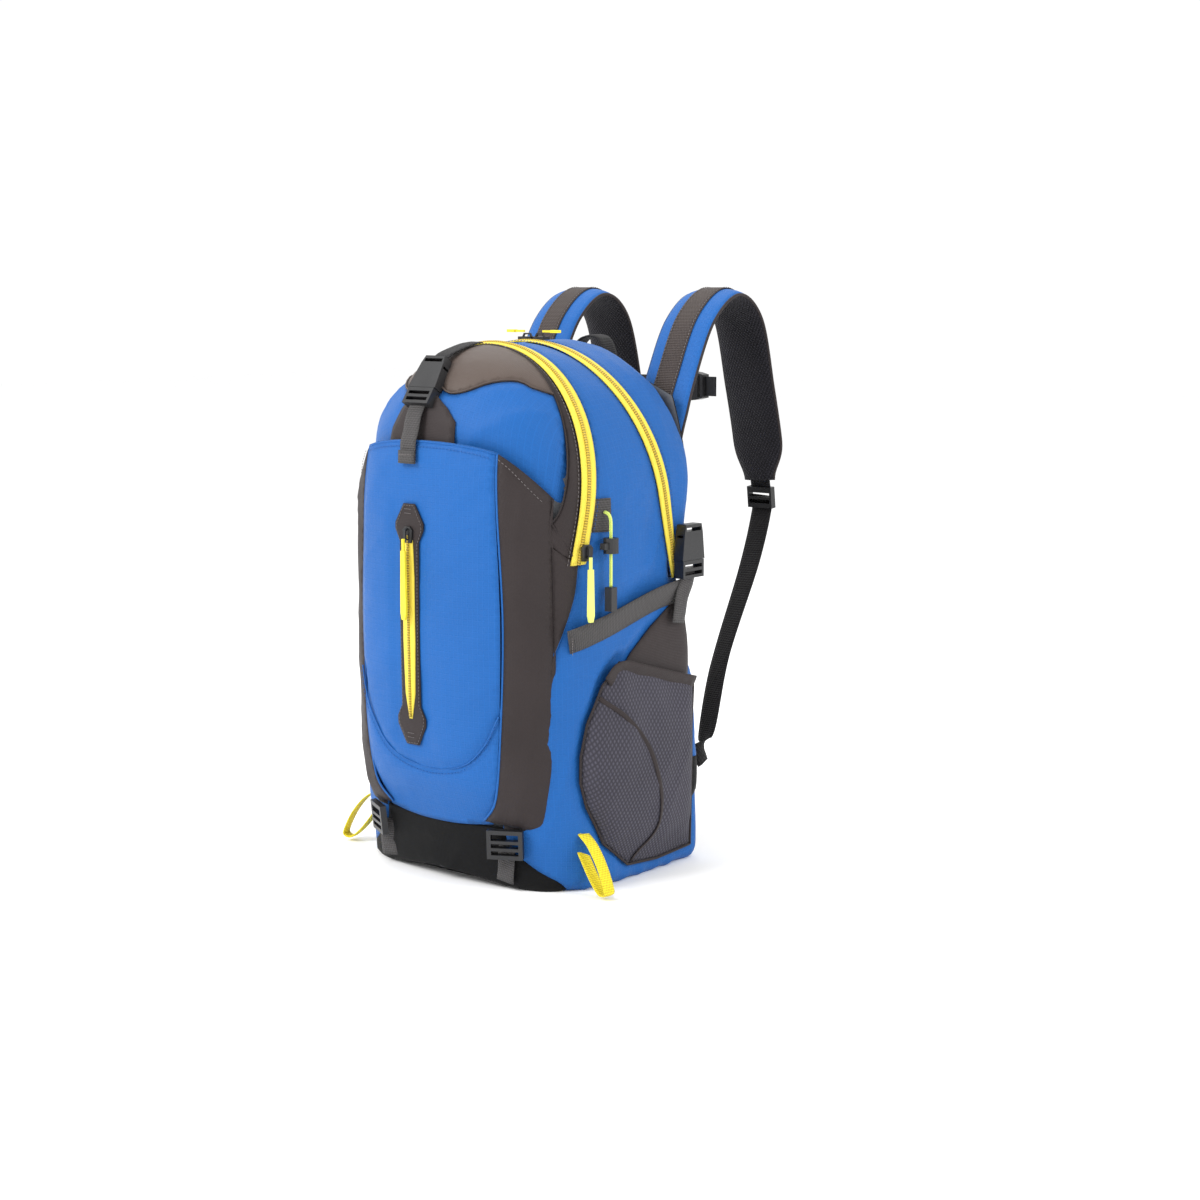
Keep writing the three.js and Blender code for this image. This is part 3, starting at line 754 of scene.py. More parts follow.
BACK_EDGE_V = float(np.interp(0.93, PLAN_S, PLAN_V))  # where the side panels end at the back


def offset_line(line, distance):
    along = tangents(line)
    return line + distance * np.stack([along[:, 1], -along[:, 0]], 1)


def put(obj, body, replaced=(), side="right"):
    """puts a piece on its body; "fold" and "root" pieces only get their transform baked in and stay
    unattached
    """
    if body == "fold":
        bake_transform(obj)
    elif body == "root":
        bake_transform(obj)
    else:
        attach(obj, body.replace("SIDE", side))
    if replaced:
        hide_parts(*[node.replace("SIDE", side) for node in replaced])


def pair(right, body, replaced=()):
    """mirrors the right-hand piece and puts both on their bodies"""
    left = mirror_copy(right, right.name.replace("_right", "_left"))
    put(right, body, replaced, "right")
    put(left, body, replaced, "left")
    return right, left


def beside(line, distance):
    """a line next to a zip, ended exactly on the crown"""
    gap = offset_line(line, distance)
    gap = gap[gap[:, 1] < CROWN]
    gap[-1, 1] = CROWN
    return gap


# ---------- camera, floor and light ----------
CAMERA_LENS, CAMERA_PITCH = 63.6, 8.44
CAMERA_PLACE, CAMERA_HEADING = (1.358, -1.535, 0.555), (-0.6373, 0.7706)


def make_camera():
    data = bpy.data.cameras.new("camera")
    data.lens, data.sensor_width = CAMERA_LENS, 36.0
    camera = bpy.data.objects.new("camera", data)
    bpy.context.scene.collection.objects.link(camera)
    camera.location = CAMERA_PLACE
    pitch = math.radians(CAMERA_PITCH)
    x, y = CAMERA_HEADING
    look = Vector((x * math.cos(pitch), y * math.cos(pitch), -math.sin(pitch)))
    camera.rotation_euler = look.to_track_quat("-Z", "Y").to_euler()
    bpy.context.scene.camera = camera


def area_light(name, place, aim, size, energy):
    data = bpy.data.lights.new(name, "AREA")
    data.shape, data.size, data.size_y, data.energy = "RECTANGLE", size, size, energy
    lamp = bpy.data.objects.new(name, data)
    lamp.location = place
    lamp.rotation_euler = (Vector(aim) - Vector(place)).to_track_quat("-Z", "Y").to_euler()
    bpy.context.scene.collection.objects.link(lamp)


def make_stage():
    floor = new_object("floor", [(x * FLOOR_HALF, y * FLOOR_HALF, -0.2) for x,
                                 y in ((-1, -1), (1, -1), (1, 1), (-1, 1))],
                       [(0, 1, 2, 3)], [(0, 0), (1, 0), (1, 1), (0, 1)])
    paper = Nodes("studio paper", (0.97, 0.97, 0.97), 1.0)
    paper.tint(paper.noise(0.6, 2), 0.995, 1.005)
    floor.data.materials.append(paper.material)
    world = bpy.data.worlds.new("studio")
    world.use_nodes = True
    world.node_tree.nodes["Background"].inputs["Color"].default_value = (1.0, 1.0, 1.0, 1)
    world.node_tree.nodes["Background"].inputs["Strength"].default_value = 1.03
    bpy.context.scene.world = world
    area_light("key", (-0.9, -2.2, 2.0), (0, 0, 0.25), 1.3, 66)
    area_light("side", (2.4, 0.3, 1.4), (0, 0, 0.25), 1.1, 26)
    area_light("top", (-0.8, 0.6, 2.6), (0, 0, 0.3), 1.6, 20)
    bpy.context.scene.view_settings.view_transform = "Standard"


# ---------- gear cords ----------
CORD_ROUTE = [(143.4, -60, 352), (148, -60, 350.6), (150.6, -60, 346), (151, -60, 338), (151, -60, 322),
              (151, -60, 304), (151, -60, 284.3)]


def spline_points(points, count):
    line = smooth_line(points, 1.2)
    run = run_length(line)
    return np.array([[np.interp(t, run, line[:, k]) for k in range(3)] for t in np.linspace(0,
            run[-1], count)])


def make_cords():
    for side, sign in (("right", 1), ("left", -1)):
        route = spline_points([(sign * x, y, z) for x, y, z in CORD_ROUTE], 34)
        obj = tube(f"gear_cord_braid_{side}", route, 1.5, CORD_NEON, 10)
        put(obj, "bag", [f"gear_cord_{side}"])


# ---------- lower front: pocket, gussets and base ----------
def stash_outline():
    left = STASH_SIDE[::-1] * [-1, 1]
    return joined(STASH_TOP, STASH_SIDE, STASH_FOOT, left)


def stash_rise(flat):
    """the pocket front stands 10 mm out and comes in to the base seam"""
    return 2.2 + 8.2 * smooth(flat[:, 1], 56, 110) + 1.5 * np.exp(-((flat[:, 1] - 250) / 90) ** 2)


def make_stash_pocket():
    def seam_dip(flat, away):
        """the front is drawn in at the curved seam and lies flat under the zip surround"""
        past = np.maximum(np.abs(flat[:, 0] - FRONT_ZIP_X) - 18, np.abs(flat[:, 1] - FRONT_ZIP_MID_Z) - 112)
        return -2.2 * np.exp(-((edge_distance_line(flat,
                                                   STASH_SEAM) / 4.5) ** 2)) - 1.5 * (1 - smooth(past, 0,
                                                                                                 12))

    front = panel("stash_pocket_front", stash_outline(), front_point, stash_rise, [BLUE, LINING], 2.6, 20,
                  1.0, 3,
                  shape=seam_dip)
    put(front, "fold", ["stash_pocket", "stash_pocket_top"])
    seam = STASH_SEAM
    rise = stash_rise(seam) + 0.5
    curve = on(front_point, seam, rise)
    put(tube("stash_curve_seam", curve, 0.8, BLUE_PLAIN, 6), "bag")
    thread = front_point(seam[:, 0], seam[:, 1] - 4.5, rise + 1.5)
    put(stitches("stash_curve_stitching", thread, THREAD_BLUE, 2.6, 1.4, 0.3), "bag")
    hem = offset_line(STASH_TOP, 4.5)
    put(stitches("stash_mouth_stitching", on(front_point, hem, stash_rise(hem) + 1.6), THREAD_BLUE, 2.6,
                 1.4, 0.3), "fold")
    edge = on(front_point, STASH_TOP, stash_rise(STASH_TOP) - 0.6)
    put(tube("stash_mouth_binding", edge, 1.3, BLUE_PLAIN, 8), "fold")


def side_seam_front():
    """the seam where the pocket's gusset meets the bag, near the front corner"""
    return smooth_line([(118, 366), (119, 300), (120, 200), (119, 120), (113, 60)], 6)


def make_gussets():
    inner = STASH_SIDE[::-1]
    inner_ring = ring_from_front(inner, 9.0)
    outer = side_seam_front()
    outer_ring = ring_from_front(outer, 0.0)
    outline = joined(inner_ring, straight_line([inner_ring[-1], outer_ring[0]], 6), outer_ring,
                     straight_line([outer_ring[-1], inner_ring[0]], 6))

    def rise(flat):
        near, far = edge_distance_line(flat, inner_ring), edge_distance_line(flat, outer_ring)
        t = near / np.maximum(near + far, 1e-6)
        foot = smooth(flat[:, 1], 50, 110)
        return (1 - t) * (2.0 + 8.0 * foot) + t * 1.0

    pair(panel("stash_gusset_right", outline, ring_point, rise, [DARK, LINING], 3.2, 14, 1.6, 11, 1.3),
         "fold")
    top = np.array([(80, 404), (92, 395), (106, 381), (118, 368)], float)
    hem = smooth_line(top - [1, 5], 4)
    line = ring_from_front(hem, 6.0)
    lift = np.linspace(12, 4.4, len(line))
    pair(stitches("stash_gusset_stitching_right", on(ring_point, line, lift), THREAD_GREY, 2.2, 1.8,
                  0.28), "fold")
    pair(tube("stash_gusset_seam_right", on(ring_point, outer_ring, 1.2), 0.9, DARK, 6), "fold")
    line = inner_ring
    foot = smooth(line[:, 1], 50, 110)
    pair(tube("stash_edge_seam_right", on(ring_point, line, 1.6 + 8.2 * foot), 1.1, BLUE_PLAIN, 6),
         "fold")
    return outer_ring


def make_lower_bands(outer_ring):
    """the brown cloth between the pocket's gusset and the blue side"""
    arch_end = ARCH[0]
    inner_low = BAND_INNER[0]
    outline = joined(outer_ring[::-1], straight_line([outer_ring[0], inner_low], 6),
                     straight_line([inner_low, arch_end], 6), BROWN_EDGE,
                     straight_line([BROWN_EDGE[-1], outer_ring[-1]], 6))
    pair(panel("side_band_right", outline, ring_point, 1.9, [DARK, LINING], 1.4, 12, 1.0, 21, 1.4),
         "fold")
    cross = straight_line([outer_ring[4], arch_end], 5)
    pair(tube("side_band_seam_right", on(ring_point, cross, 2.2), 0.8, DARK, 6), "bag")
    pair(tube("side_band_piping_right", on(ring_point, BROWN_EDGE, 1.0), 0.9, BLUE_PLAIN, 6), "bag")


def make_base():
    edge = BASE_EDGE
    across = np.linspace(edge[0, 0], 10, 20)
    s_at = np.interp(across, PLAN_V, PLAN_S)
    _, _, bottom, corner, spring = section(s_at, 0.0)
    height = SIDE_LOW + (60 - bottom - corner) / (spring - bottom - corner) * (SIDE_TOP - SIDE_LOW)
    rim = np.stack([across, height], 1)
    foot = straight_line([(edge[-1, 0], -8), (4, -8)], 7)
    right = joined(foot[::-1], edge[::-1], rim)
    outline = joined(right, (right * [-1, 1])[::-1])
    front = panel("base_front", outline, wrap_point, 0.8, [BLACK, LINING], 1.8, 14, 1.1, 31, 0.3)
    put(front, "bag")
    line = [(112 * math.sin(t) * 1.18, -8 + (112 if math.cos(t) > 0 else 92) * -math.cos(t))
            for t in np.linspace(0, 2 * math.pi, 90, endpoint=False)]
    line = np.array([(np.clip(x, -UNDERSIDE_REACH, UNDERSIDE_REACH), y) for x, y in line])
    under = panel("base_underside", line, under_point, 0.3, [BLACK, LINING], 0.0, 14, 0.0, 33, 0.3, 0.8,
                  9.0)
    put(under, "bag")


# ---------- sides ----------
TRIANGLE = [(60, 268), (40, 256), (10, 238), (-18, 218), (-36, 200), (-20, 190), (30, 182), (66, 172),
            (72, 220)]
COMPRESSION = ring_at(*smooth_line([(-93, 237), (-76, 242), (-60, 246.5), (10, 264.5), (58, 271.5)], 6).T)
POCKET = [(71, 18), (73, 100), (72, 180), (30, 193), (-10, 205), (-38, 213), (-60, 194), (-76, 160),
          (-82, 130),
          (-82, 105), (-76, 82), (-57, 44), (-24, 18), (20, 15)]


def make_side_panels():
    """blue cloth from the brown seam round to the back edge, below the ends of the zips"""
    main_low = MAIN[0]
    back_v = BACK_EDGE_V
    gap_a, gap_m = beside(ARCH, 7.5), beside(MAIN, -8)
    right = [(main_low[0] + 9, main_low[1]), (back_v, main_low[1] - 4)]
    back = [(back_v, main_low[1] - 4), (back_v, 60), (back_v, -6)]
    foot = straight_line([(back_v, -6), (BASE_EDGE[-1, 0] + 4, -6), BASE_EDGE[-1]], 6)
    upper = straight_line([(gap_m[0, 0] + 16, gap_m[0, 1]), right[0]], 5)
    outline = joined(BASE_EDGE[::-1], BROWN_EDGE[::-1], straight_line([BROWN_EDGE[0], gap_a[0]], 5), gap_a,
                     straight_line([gap_a[-1], gap_m[-1]], 5), gap_m[::-1], upper, straight_line(right, 6),
                     straight_line(back, 6), foot)

    covers = [ring_at(*np.array(TRIANGLE, float).T), ring_at(*smooth_free(POCKET, 8).T)]

    def pressed(flat, away):
        """the cloth lies flatter where the triangle, pocket and strap cover it"""
        down = np.zeros(len(flat))
        for cover in covers:
            within = inside_outline(flat, cover)
            signed = edge_distance(flat, cover) * np.where(within, 1, -1)
            down = np.maximum(down, smooth(signed, -12, -2))
        strap = 1 - smooth(edge_distance_line(flat, COMPRESSION), 12, 34)
        down = np.maximum(down, strap * 0.8)
        return -down * (2.6 * (1 - np.exp(-away / 26)) + 1.9)

    pair(panel("side_panel_right", outline, ring_point, 0.7, [BLUE, LINING], 2.6, 26, 1.9, 41, 1.2,
               shape=pressed), "fold")
    triangle = smooth_free(TRIANGLE)
    flat = ring_at(triangle[:, 0], triangle[:, 1])
    pair(panel("side_triangle_right", flat, ring_point, 1.6, [DARK, LINING], 1.8, 10, 0.8, 45, 0.2),
         "bag")


def smooth_free(points, step=6.0):
    return straight_line(list(points) + [points[0]], step)[:-1]


def make_rear_band():
    """blue cloth behind the main zip, from one back edge over the crown to the other"""
    gap = beside(MAIN, 8)
    zip_side = both_sides(gap)
    low = gap[0, 1]
    back_right = straight_line([(BACK_EDGE_V, low), (BACK_EDGE_V, CROWN)], 6)
    back_side = both_sides(back_right)
    outline = joined(zip_side, straight_line([zip_side[-1], back_side[-1]], 6), back_side[::-1],
                     straight_line([back_side[0], zip_side[0]], 6))
    band = panel("rear_band", outline, ring_point, 0.8, [BLUE, LINING], 3.0, 24, 1.6, 51, 1.45)
    put(band, "bag", ["rear_shell"])


# ---------- the front flap: arch band, crown patch, upper front ----------
def make_arch_band():
    gap = beside(ARCH, -7.5)
    outer, inner = both_sides(gap), both_sides(BAND_INNER)
    outline = joined(inner, straight_line([inner[-1], outer[-1]], 5), outer[::-1],
                     straight_line([outer[0], inner[0]], 5))
    band = panel("arch_band", outline, ring_point, 1.0, [DARK, LINING], 2.2, 12, 1.3, 61, 1.3)
    put(band, "fold", ["front_flap"])
    solid = on(ring_point, inner, 1.4)
    put(tube("arch_band_piping", solid, 0.9, DARK, 6), "fold")


WAVE = [(85, 458), (68, 467), (50, 466), (30, 458), (14, 456), (0, 462), (-12, 466), (-24, 462), (-38, 456),
        (-54, 458), (-74, 467), (-90, 455)]


def band_inner_fan():
    """the arch band's inner edge in fan coordinates, from the right end over to the left end"""
    inner = both_sides(BAND_INNER)
    return fan_at(on(ring_point, inner, 0))


def make_upper_front():
    inner = band_inner_fan()
    wave = fan_front(smooth_line(WAVE, 5))
    right = int(np.argmin(np.linalg.norm(inner[:len(inner) // 2] - wave[0], axis=1)))
    left = len(inner) // 2 + int(np.argmin(np.linalg.norm(inner[len(inner) // 2:] - wave[-1], axis=1)))
    wave[0], wave[-1] = inner[right], inner[left]
    patch = panel("crown_patch", joined(wave, inner[right:left + 1][::-1]), fan_point, 1.6,
                  [TAUPE, LINING], 1.2, 8,
                  0.5, 71, 0.1)
    put(patch, "front_flap")
    low_right, low_left = inner[0], inner[-1]
    mouth = fan_front(np.vstack([[(118, 364)], smooth_line([(104, 374), (80, 388), (0, 390), (-80, 388),
                                                            (-104, 374)], 8), [(-118, 364)]]))

    def rise(flat):
        height = on(fan_point, flat, 0)[:, 2]
        return 0.8 - 4.6 * (1 - smooth(height, 385, 428))

    outline = joined(inner[:right + 1], wave, inner[left:], straight_line([low_left, mouth[-1]], 6),
                     mouth[::-1],
                     straight_line([mouth[0], low_right], 6))
    front = panel("upper_front", outline, fan_point, rise, [BLUE, LINING], 4.2, 28, 2.1, 73, 0.9)
    put(front, "fold", ["base_shell", "lower_shell"])
    edge = on(fan_point, wave, 2.4)
    put(tube("crown_patch_edge", edge, 0.8, TAUPE, 6), "front_flap")
    tongue = fan_front(smooth_free([(-52, 402), (-50, 420), (-40, 438), (-26, 452), (-12, 456), (2, 452),
                                    (20, 440),
                                    (32, 428), (34, 402)], 5))
    patch = panel("strap_tongue", tongue, fan_point, 5.2, [DARK, LINING], 0.8, 6, 0.5, 77, 0.1)
    put(patch, "front_flap")


# ---------- zips ----------
def make_zips():
    arch, main = both_sides(ARCH), both_sides(MAIN)
    for name, line, low, high, body, node in (
            ("arch_zip_front_tape", arch, -8, -0.4, "fold", "front_zip_arch_tape"),
            ("arch_zip_rear_tape", arch, 0.4, 8, "fold", None),
            ("main_zip_front_tape", main, -9, -0.5, "fold", "main_zip_flap_tape"),
            ("main_zip_rear_tape", main, 0.5, 9, "bag", "main_zip_tape")):
        tape = surface_strip(name, line, ring_point, (low, high), 2.6, [TAPE_YELLOW], 4, 0.8)
        thicken(tape, 0.9)
        put(tape, body, [node] if node else ())
    for name, line, shift, body in (("arch_zip_coil", arch, 0, "fold"),
                                    ("main_zip_front_coil", main, -0.9, "fold"),
                                    ("main_zip_rear_coil", main, 0.9, "bag")):
        coil_line = offset_line(line, shift)
        radius = 1.6 if shift == 0 else 1.1
        solid = on(ring_point, coil_line, 3.2)
        put(tube(name, solid, radius, COIL_GOLD, 8), body)
    for name, line, shift, body in (("arch_band_topstitch", arch, -11, "fold"),
                                    ("arch_side_topstitch", arch, 11, "fold"),
                                    ("main_front_topstitch", main, -12, "fold"),
                                    ("main_rear_topstitch", main, 12, "bag")):
        edge = offset_line(line, shift)
        solid = on(ring_point, edge, 3.0)
        put(stitches(name, solid, THREAD_GREY if "band" in name else THREAD_BLUE, 2.4, 1.5, 0.3), body)


def make_front_zip():
    cx = FRONT_ZIP_X
    hexagon = [(cx - 7, 357), (cx + 7, 357), (cx + 18, 339), (cx + 18, 333), (cx + 12, 322), (cx + 12, 168),
               (cx + 18, 157), (cx + 18, 150), (cx + 8, 131), (cx - 8, 131), (cx - 18, 150), (cx - 18, 157),
               (cx - 12, 168), (cx - 12, 322), (cx - 18, 333), (cx - 18, 339)]
    frame_line = smooth_free(hexagon, 4)

    def rise(flat):
        return stash_rise(flat) + 2.9

    patch = panel("front_zip_surround", frame_line, front_point, rise, [DARK, LINING], 0.5, 5, 0.2, 81,
                  0.1, 0.9, 4.0)
    put(patch, "fold", ["front_zip_frame"])
    leaf = [(0, 334), (5.0, 328), (7.2, 290), (7.6, 230), (6.2, 180), (1.8, 156), (-1.8, 156), (-6.2, 180),
            (-7.6, 230), (-7.2, 290), (-5.0, 328)]
    outline = smooth_free([(cx + x, z) for x, z in leaf], 4)
    tape = panel("front_zip_inlay", outline, front_point, lambda f: rise(f) + 0.9, [TAPE_YELLOW], 0.5, 2,
                 0.0, 83, 0.1,
                 0.6, 4.0)
    put(tape, "bag", ["front_zip_tape"])
    line = straight_line([(cx, 328), (cx, 158)], 4)
    solid = on(front_point, line, rise(line) + 1.7)
    put(tube("front_zip_coil", solid, 1.4, COIL_GOLD, 8), "bag")
    edge = np.vstack([frame_line, frame_line[:1]])
    inset = front_point(cx + (edge[:, 0] - cx) * 0.88,
                        FRONT_ZIP_MID_Z + (edge[:, 1] - FRONT_ZIP_MID_Z) * 0.985, rise(edge) + 0.7)
    put(stitches("front_zip_stitching", inset, THREAD_GREY, 2.0, 1.4, 0.25), "bag")
    for k, z in enumerate((138, 142, 348, 352)):
        bar = straight_line([(cx - 5, z), (cx + 5, z)], 2)
        solid = on(front_point, bar, rise(bar) + 0.8)
        put(stitches(f"front_zip_bartack_{k}", solid, THREAD_GREY, 1.6, 0.5, 0.3), "bag")


# ---------- straps on the bag ----------
def strap_on_bag(name, line, chart, width, grow, thick, material):
    base = on(chart, line, grow)
    over = on(chart, line, grow + 5.0)
    return webbing(name, base, over - base, width, thick, [material])


def make_top_strap():
    line = straight_line([(-12, 394), (-12, 414)], 4)
    low = on(front_point, line, 14.6)
    bridge = smooth_line([low[-1], (-12, -149.5, 425), (-12, -146.5, 436), (-12, -141, 446),
                          (-12, -138, 451)], 3)[1:]
    points = np.vstack([low, bridge])
    along = np.gradient(points, axis=0)
    strap = webbing("top_strap_web", points, np.cross(np.tile([1.0, 0, 0], (len(points), 1)), along) * -1,
                    19, 1.7,
                    [WEB_GREY])
    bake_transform(strap)
    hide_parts("top_strap")
    fold = webbing("top_strap_fold", low[:4] + [0, -2.0, 0], np.tile([0, -1.0, 0], (4, 1)), 20, 1.7,
                   [WEB_GREY])
    put(fold, "front_flap")
    tack = np.array([(x, low[2][1] - 3.2, low[2][2]) for x in np.linspace(-20, -4, 9)])
    put(stitches("top_strap_bartack", tack, THREAD_GREY, 1.5, 0.5, 0.35), "front_flap")
    upper = smooth_line([(-12, -113, 486.5), (-12, -104, 492), (-12, -92, 496), (-12, -74, 500.5),
                         (-12, -62, 502)], 4)
    along = np.gradient(upper, axis=0)
    back = webbing("top_strap_upper_web", upper, np.cross(np.tile([1.0, 0, 0], (len(upper), 1)), along),
                   19, 1.6,
                   [WEB_BLACK])
    put(back, "front_flap")


def make_compression_straps():
    line = COMPRESSION
    grow = np.linspace(4.2, 5.6, len(line))
    pair(strap_on_bag("compression_web_right", line, ring_point, 24, grow, 1.7, WEB_GREY), "bag",
         ["compression_strap_SIDE"])
    p = ring_at(*np.array([(-92, 226), (-92, 248)]).T)
    p = straight_line(p, 2)
    pair(stitches("compression_bartack_right", ring_point(p[:, 0] + 2, p[:, 1], np.full(len(p), 5.6)),
                  THREAD_GREY, 1.8, 0.6, 0.35), "bag")
    points = smooth_line([(152, 57, 288), (150, 57, 280), (148.5, 50, 264), (149, 46, 250),
                          (148.5, 44, 238)], 4)
    pair(webbing("compression_tail_right", points, np.tile([1, 0.1, 0.2], (len(points), 1)), 20, 1.5,
                 [WEB_GREY]), "compression_prongs_SIDE")


def make_gear_tabs():
    line = ring_at(*straight_line([(-60, 334), (-60, 364)], 3).T)
    pair(strap_on_bag("gear_tab_web_right", line, ring_point, 20, np.full(len(line), 2.6), 1.8, WEB_GREY),
         "bag", ["gear_tab_SIDE"])


# ---------- mesh pockets ----------
def make_mesh_pockets():
    yz = smooth_free(POCKET, 6)
    outline = ring_at(yz[:, 0], yz[:, 1])

    def rise(flat):
        solid = on(ring_point, flat, 0)
        mouth = smooth(solid[:, 2], 120, 205)
        belly = smooth(solid[:, 2], 10, 70)
        edge = 1 - np.exp(-edge_distance(flat, outline) / 16)
        return 1.8 + 12.4 * edge * belly * (1 - mouth) + (2.2 + 5.0 * edge) * mouth

    def folds(flat, away):
        solid = on(ring_point, flat, 0)
        gather = np.sin(solid[:, 1] / 6.5 + 0.8 * np.sin(solid[:, 2] / 31)) * smooth(solid[:, 2], 80,
                200) * 0.9
        return gather * (1 - np.exp(-away / 12))

    pair(panel("side_pocket_mesh_right", outline, ring_point, rise, [POCKET_MESH, POCKET_MESH], 0.8, 12,
               1.2, 91, 0.9, 0.9, 5.0, folds), "bag", ["mesh_pocket_SIDE"])
    top = ring_at(*smooth_line([(68, 180), (30, 191), (-10, 203), (-38, 210), (-54, 198)], 5).T)
    pair(strap_on_bag("side_pocket_binding_right", top, ring_point, 13, rise(top) + 2.4, 1.6, DARK),
         "bag")
    pleat = smooth_line([(-64, 184), (-34, 166), (-8, 138), (6, 106), (10, 78), (2, 48), (-20, 22)], 5)
    flat = ring_at(pleat[:, 0], pleat[:, 1])
    pair(strap_on_bag("side_pocket_pleat_right", flat, ring_point, 4.5, rise(flat) + 1.4, 1.2, DARK),
         "bag")
    loop = np.vstack([outline, outline[:1]])
    solid = on(ring_point, loop, rise(loop) + 0.6)
    pair(tube("side_pocket_rim_right", solid, 1.3, DARK, 6), "bag")


# ---------- back ----------
def make_back():
    outline = smooth_free([(-122, 5), (-40, 3), (40, 3), (122, 5), (130, 120), (124, 280), (128, 400),
                           (108, 450),
                           (60, 470), (0, 474), (-60, 470), (-108, 450), (-128, 400), (-124, 280),
                           (-130, 120)], 7)
    face = panel("back_panel", outline, back_point, 0.6, [BLACK, LINING], 1.0, 12, 0.7, 101, 0.3, 1.2, 7.0)
    put(face, "bag")
    pad_line = smooth_free([(-112, 60), (0, 60), (112, 60), (104, 250), (112, 398), (66, 398), (22, 398),
                            (20, 270),
                            (18, 152), (0, 150), (-18, 152), (-20, 270), (-22, 398), (-66, 398),
                            (-112, 398),
                            (-104, 250)], 5)

    def channels(flat, away):
        """quilted grooves across the pads"""
        groove = np.zeros(len(flat))
        for z in (140, 226, 312):
            groove += np.exp(-(((flat[:, 1] - z + 0.12 * np.abs(flat[:, 0])) / 5) ** 2))
        return -6.0 * groove * smooth(away, 0, 8)

    pad = panel("back_pad_cover", pad_line, back_point, 2.2, [AIR_MESH, LINING], 10.6, 9, 0.8, 107, 0.2,
                1.4, 5.0,
                shape=channels)
    put(pad, "bag", ["back_pad"])
    rim = on(back_point, pad_line, 2.6)
    put(tube("back_pad_binding", np.vstack([rim, rim[:2]]), 1.5, BLACK, 8), "bag")
    yoke_line = smooth_free([(-47, 403), (0, 403), (47, 403), (47, 445), (0, 445), (-47, 445)], 4)
    yoke = panel("harness_yoke_cover", yoke_line, back_point, 1.4, [BLUE_PLAIN, LINING], 2.6, 5, 0.4, 109,
                 0.2, 1.4)
    put(yoke, "bag", ["harness_yoke"])


def make_lining():
    """the lining behind the outer cloth, seen when the flap is open"""
    ring_h = np.concatenate([np.linspace(0, 30, 5), np.linspace(45, 360, 22), np.linspace(372, 580, 22)])
    ring_h = np.concatenate([ring_h, (2 * CROWN - ring_h[:-1])[::-1]])
    vs = np.linspace(30, BACK_V - 25, 46)
    split = ring_line(main_plane, [h if h <= CROWN else 2 * CROWN - h for h in ring_h])[:, 0]
    for name, body, keep in (("front_lining", "fold", lambda v, edge: v < edge - 2),
                             ("rear_lining", "bag", lambda v, edge: v > edge + 2)):
        verts, faces, index = [], [], {}
        for i, v in enumerate(vs):
            for j, h in enumerate(ring_h):
                index[i, j] = len(verts)
                verts.append(ring_point(np.array([v]), np.array([h]), LINING_DEPTH)[0])
        for i in range(len(vs) - 1):
            for j in range(len(ring_h) - 1):
                if keep(vs[i], split[j]) and keep(vs[i + 1], split[j]):
                    faces.append((index[i, j], index[i + 1, j], index[i + 1, j + 1], index[i, j + 1]))
        obj = new_object(name, verts, faces, [(v[0] + v[1], v[2]) for v in verts], [LINING])
        put(obj, body)


# ---------- shoulder harness ----------
STRAP_PATH = [(86, 86, 404), (86, 91, 418), (86, 97, 432), (86, 111, 464), (86, 142, 520), (86, 184, 546),
              (86, 222, 522), (86, 244, 452), (88, 256, 396), (90, 258, 356)]


def strap_frame(path, step=4.0):
    line = smooth_line(path, step)
    along = tangents(line)
    side = np.tile([1.0, 0, 0], (len(line), 1))
    side -= (side * along).sum(1)[:, None] * along
    side = unit(side)
    return line, side, np.cross(side, along)


def strap_widths(count):
    t = np.linspace(0, 1, count)
    return 62 - 3 * smooth(t, 0.0, 0.2) - 24 * smooth(t, 0.88, 1.0) ** 1.5


def loft(name, line, side, up, widths, profile, materials, face_materials, uv_scale=1.0):
    """a lofted pad: profile is a ring of (across, rise) with across in half widths"""
    length = run_length(line)
    count = len(profile)
    verts, uvs = [], []
    for p, s, n, w, run in zip(line, side, up, widths, length):
        for a, b in profile:
            verts.append(p + s * a * w / 2 + n * b)
            uvs.append((a * w / 2 * uv_scale, run * uv_scale))
    faces = skin_faces(len(line), count) + end_caps(len(line), count)
    mats = face_materials * (len(line) - 1) + [0, 0]
    return new_object(name, verts, faces, uvs, materials, mats)


def pad_profile(thick, columns=14):
    top, under = [], []
    for a in np.linspace(-1, 1, columns):
        bulge = (1 - abs(a) ** 3.2)
        top.append((a, thick * 0.5 * (0.25 + 0.75 * bulge)))
        under.append((a, -thick * 0.5 * (0.25 + 0.75 * bulge)))
    return top + under[::-1], [0] * (columns - 1) + [0] + [1] * (columns - 1) + [0]


def make_harness():
    line, side, up = strap_frame(STRAP_PATH)
    widths = strap_widths(len(line))
    profile, marks = pad_profile(12.0)
    pad = loft("shoulder_pad_right", line, side, up, widths, profile, [BLUE_PLAIN, AIR_MESH], marks)
    for obj in pair(pad, "root", ["shoulder_strap_SIDE"]):
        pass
    keep = slice(2, len(line) - 3)
    centre = webbing("shoulder_centre_web_right", line[keep] + up[keep] * 6.6, up[keep], 26, 1.2, [WEB_TAUPE])
    pair(centre, "root")
    for mark, sign in (("inner", -1), ("outer", 1)):
        edge = line + side * (sign * (widths / 2 - 0.3))[:, None]
        pair(tube(f"shoulder_{mark}_piping_right", edge, 1.7, DARK, 8), "root")
        row = line[keep] + side[keep] * (sign * 11.4) + up[keep] * 7.4
        thread = stitches(f"shoulder_{mark}_stitching_right", row, THREAD_GREY, 2.2, 1.4, 0.3)
        pair(thread, "root")


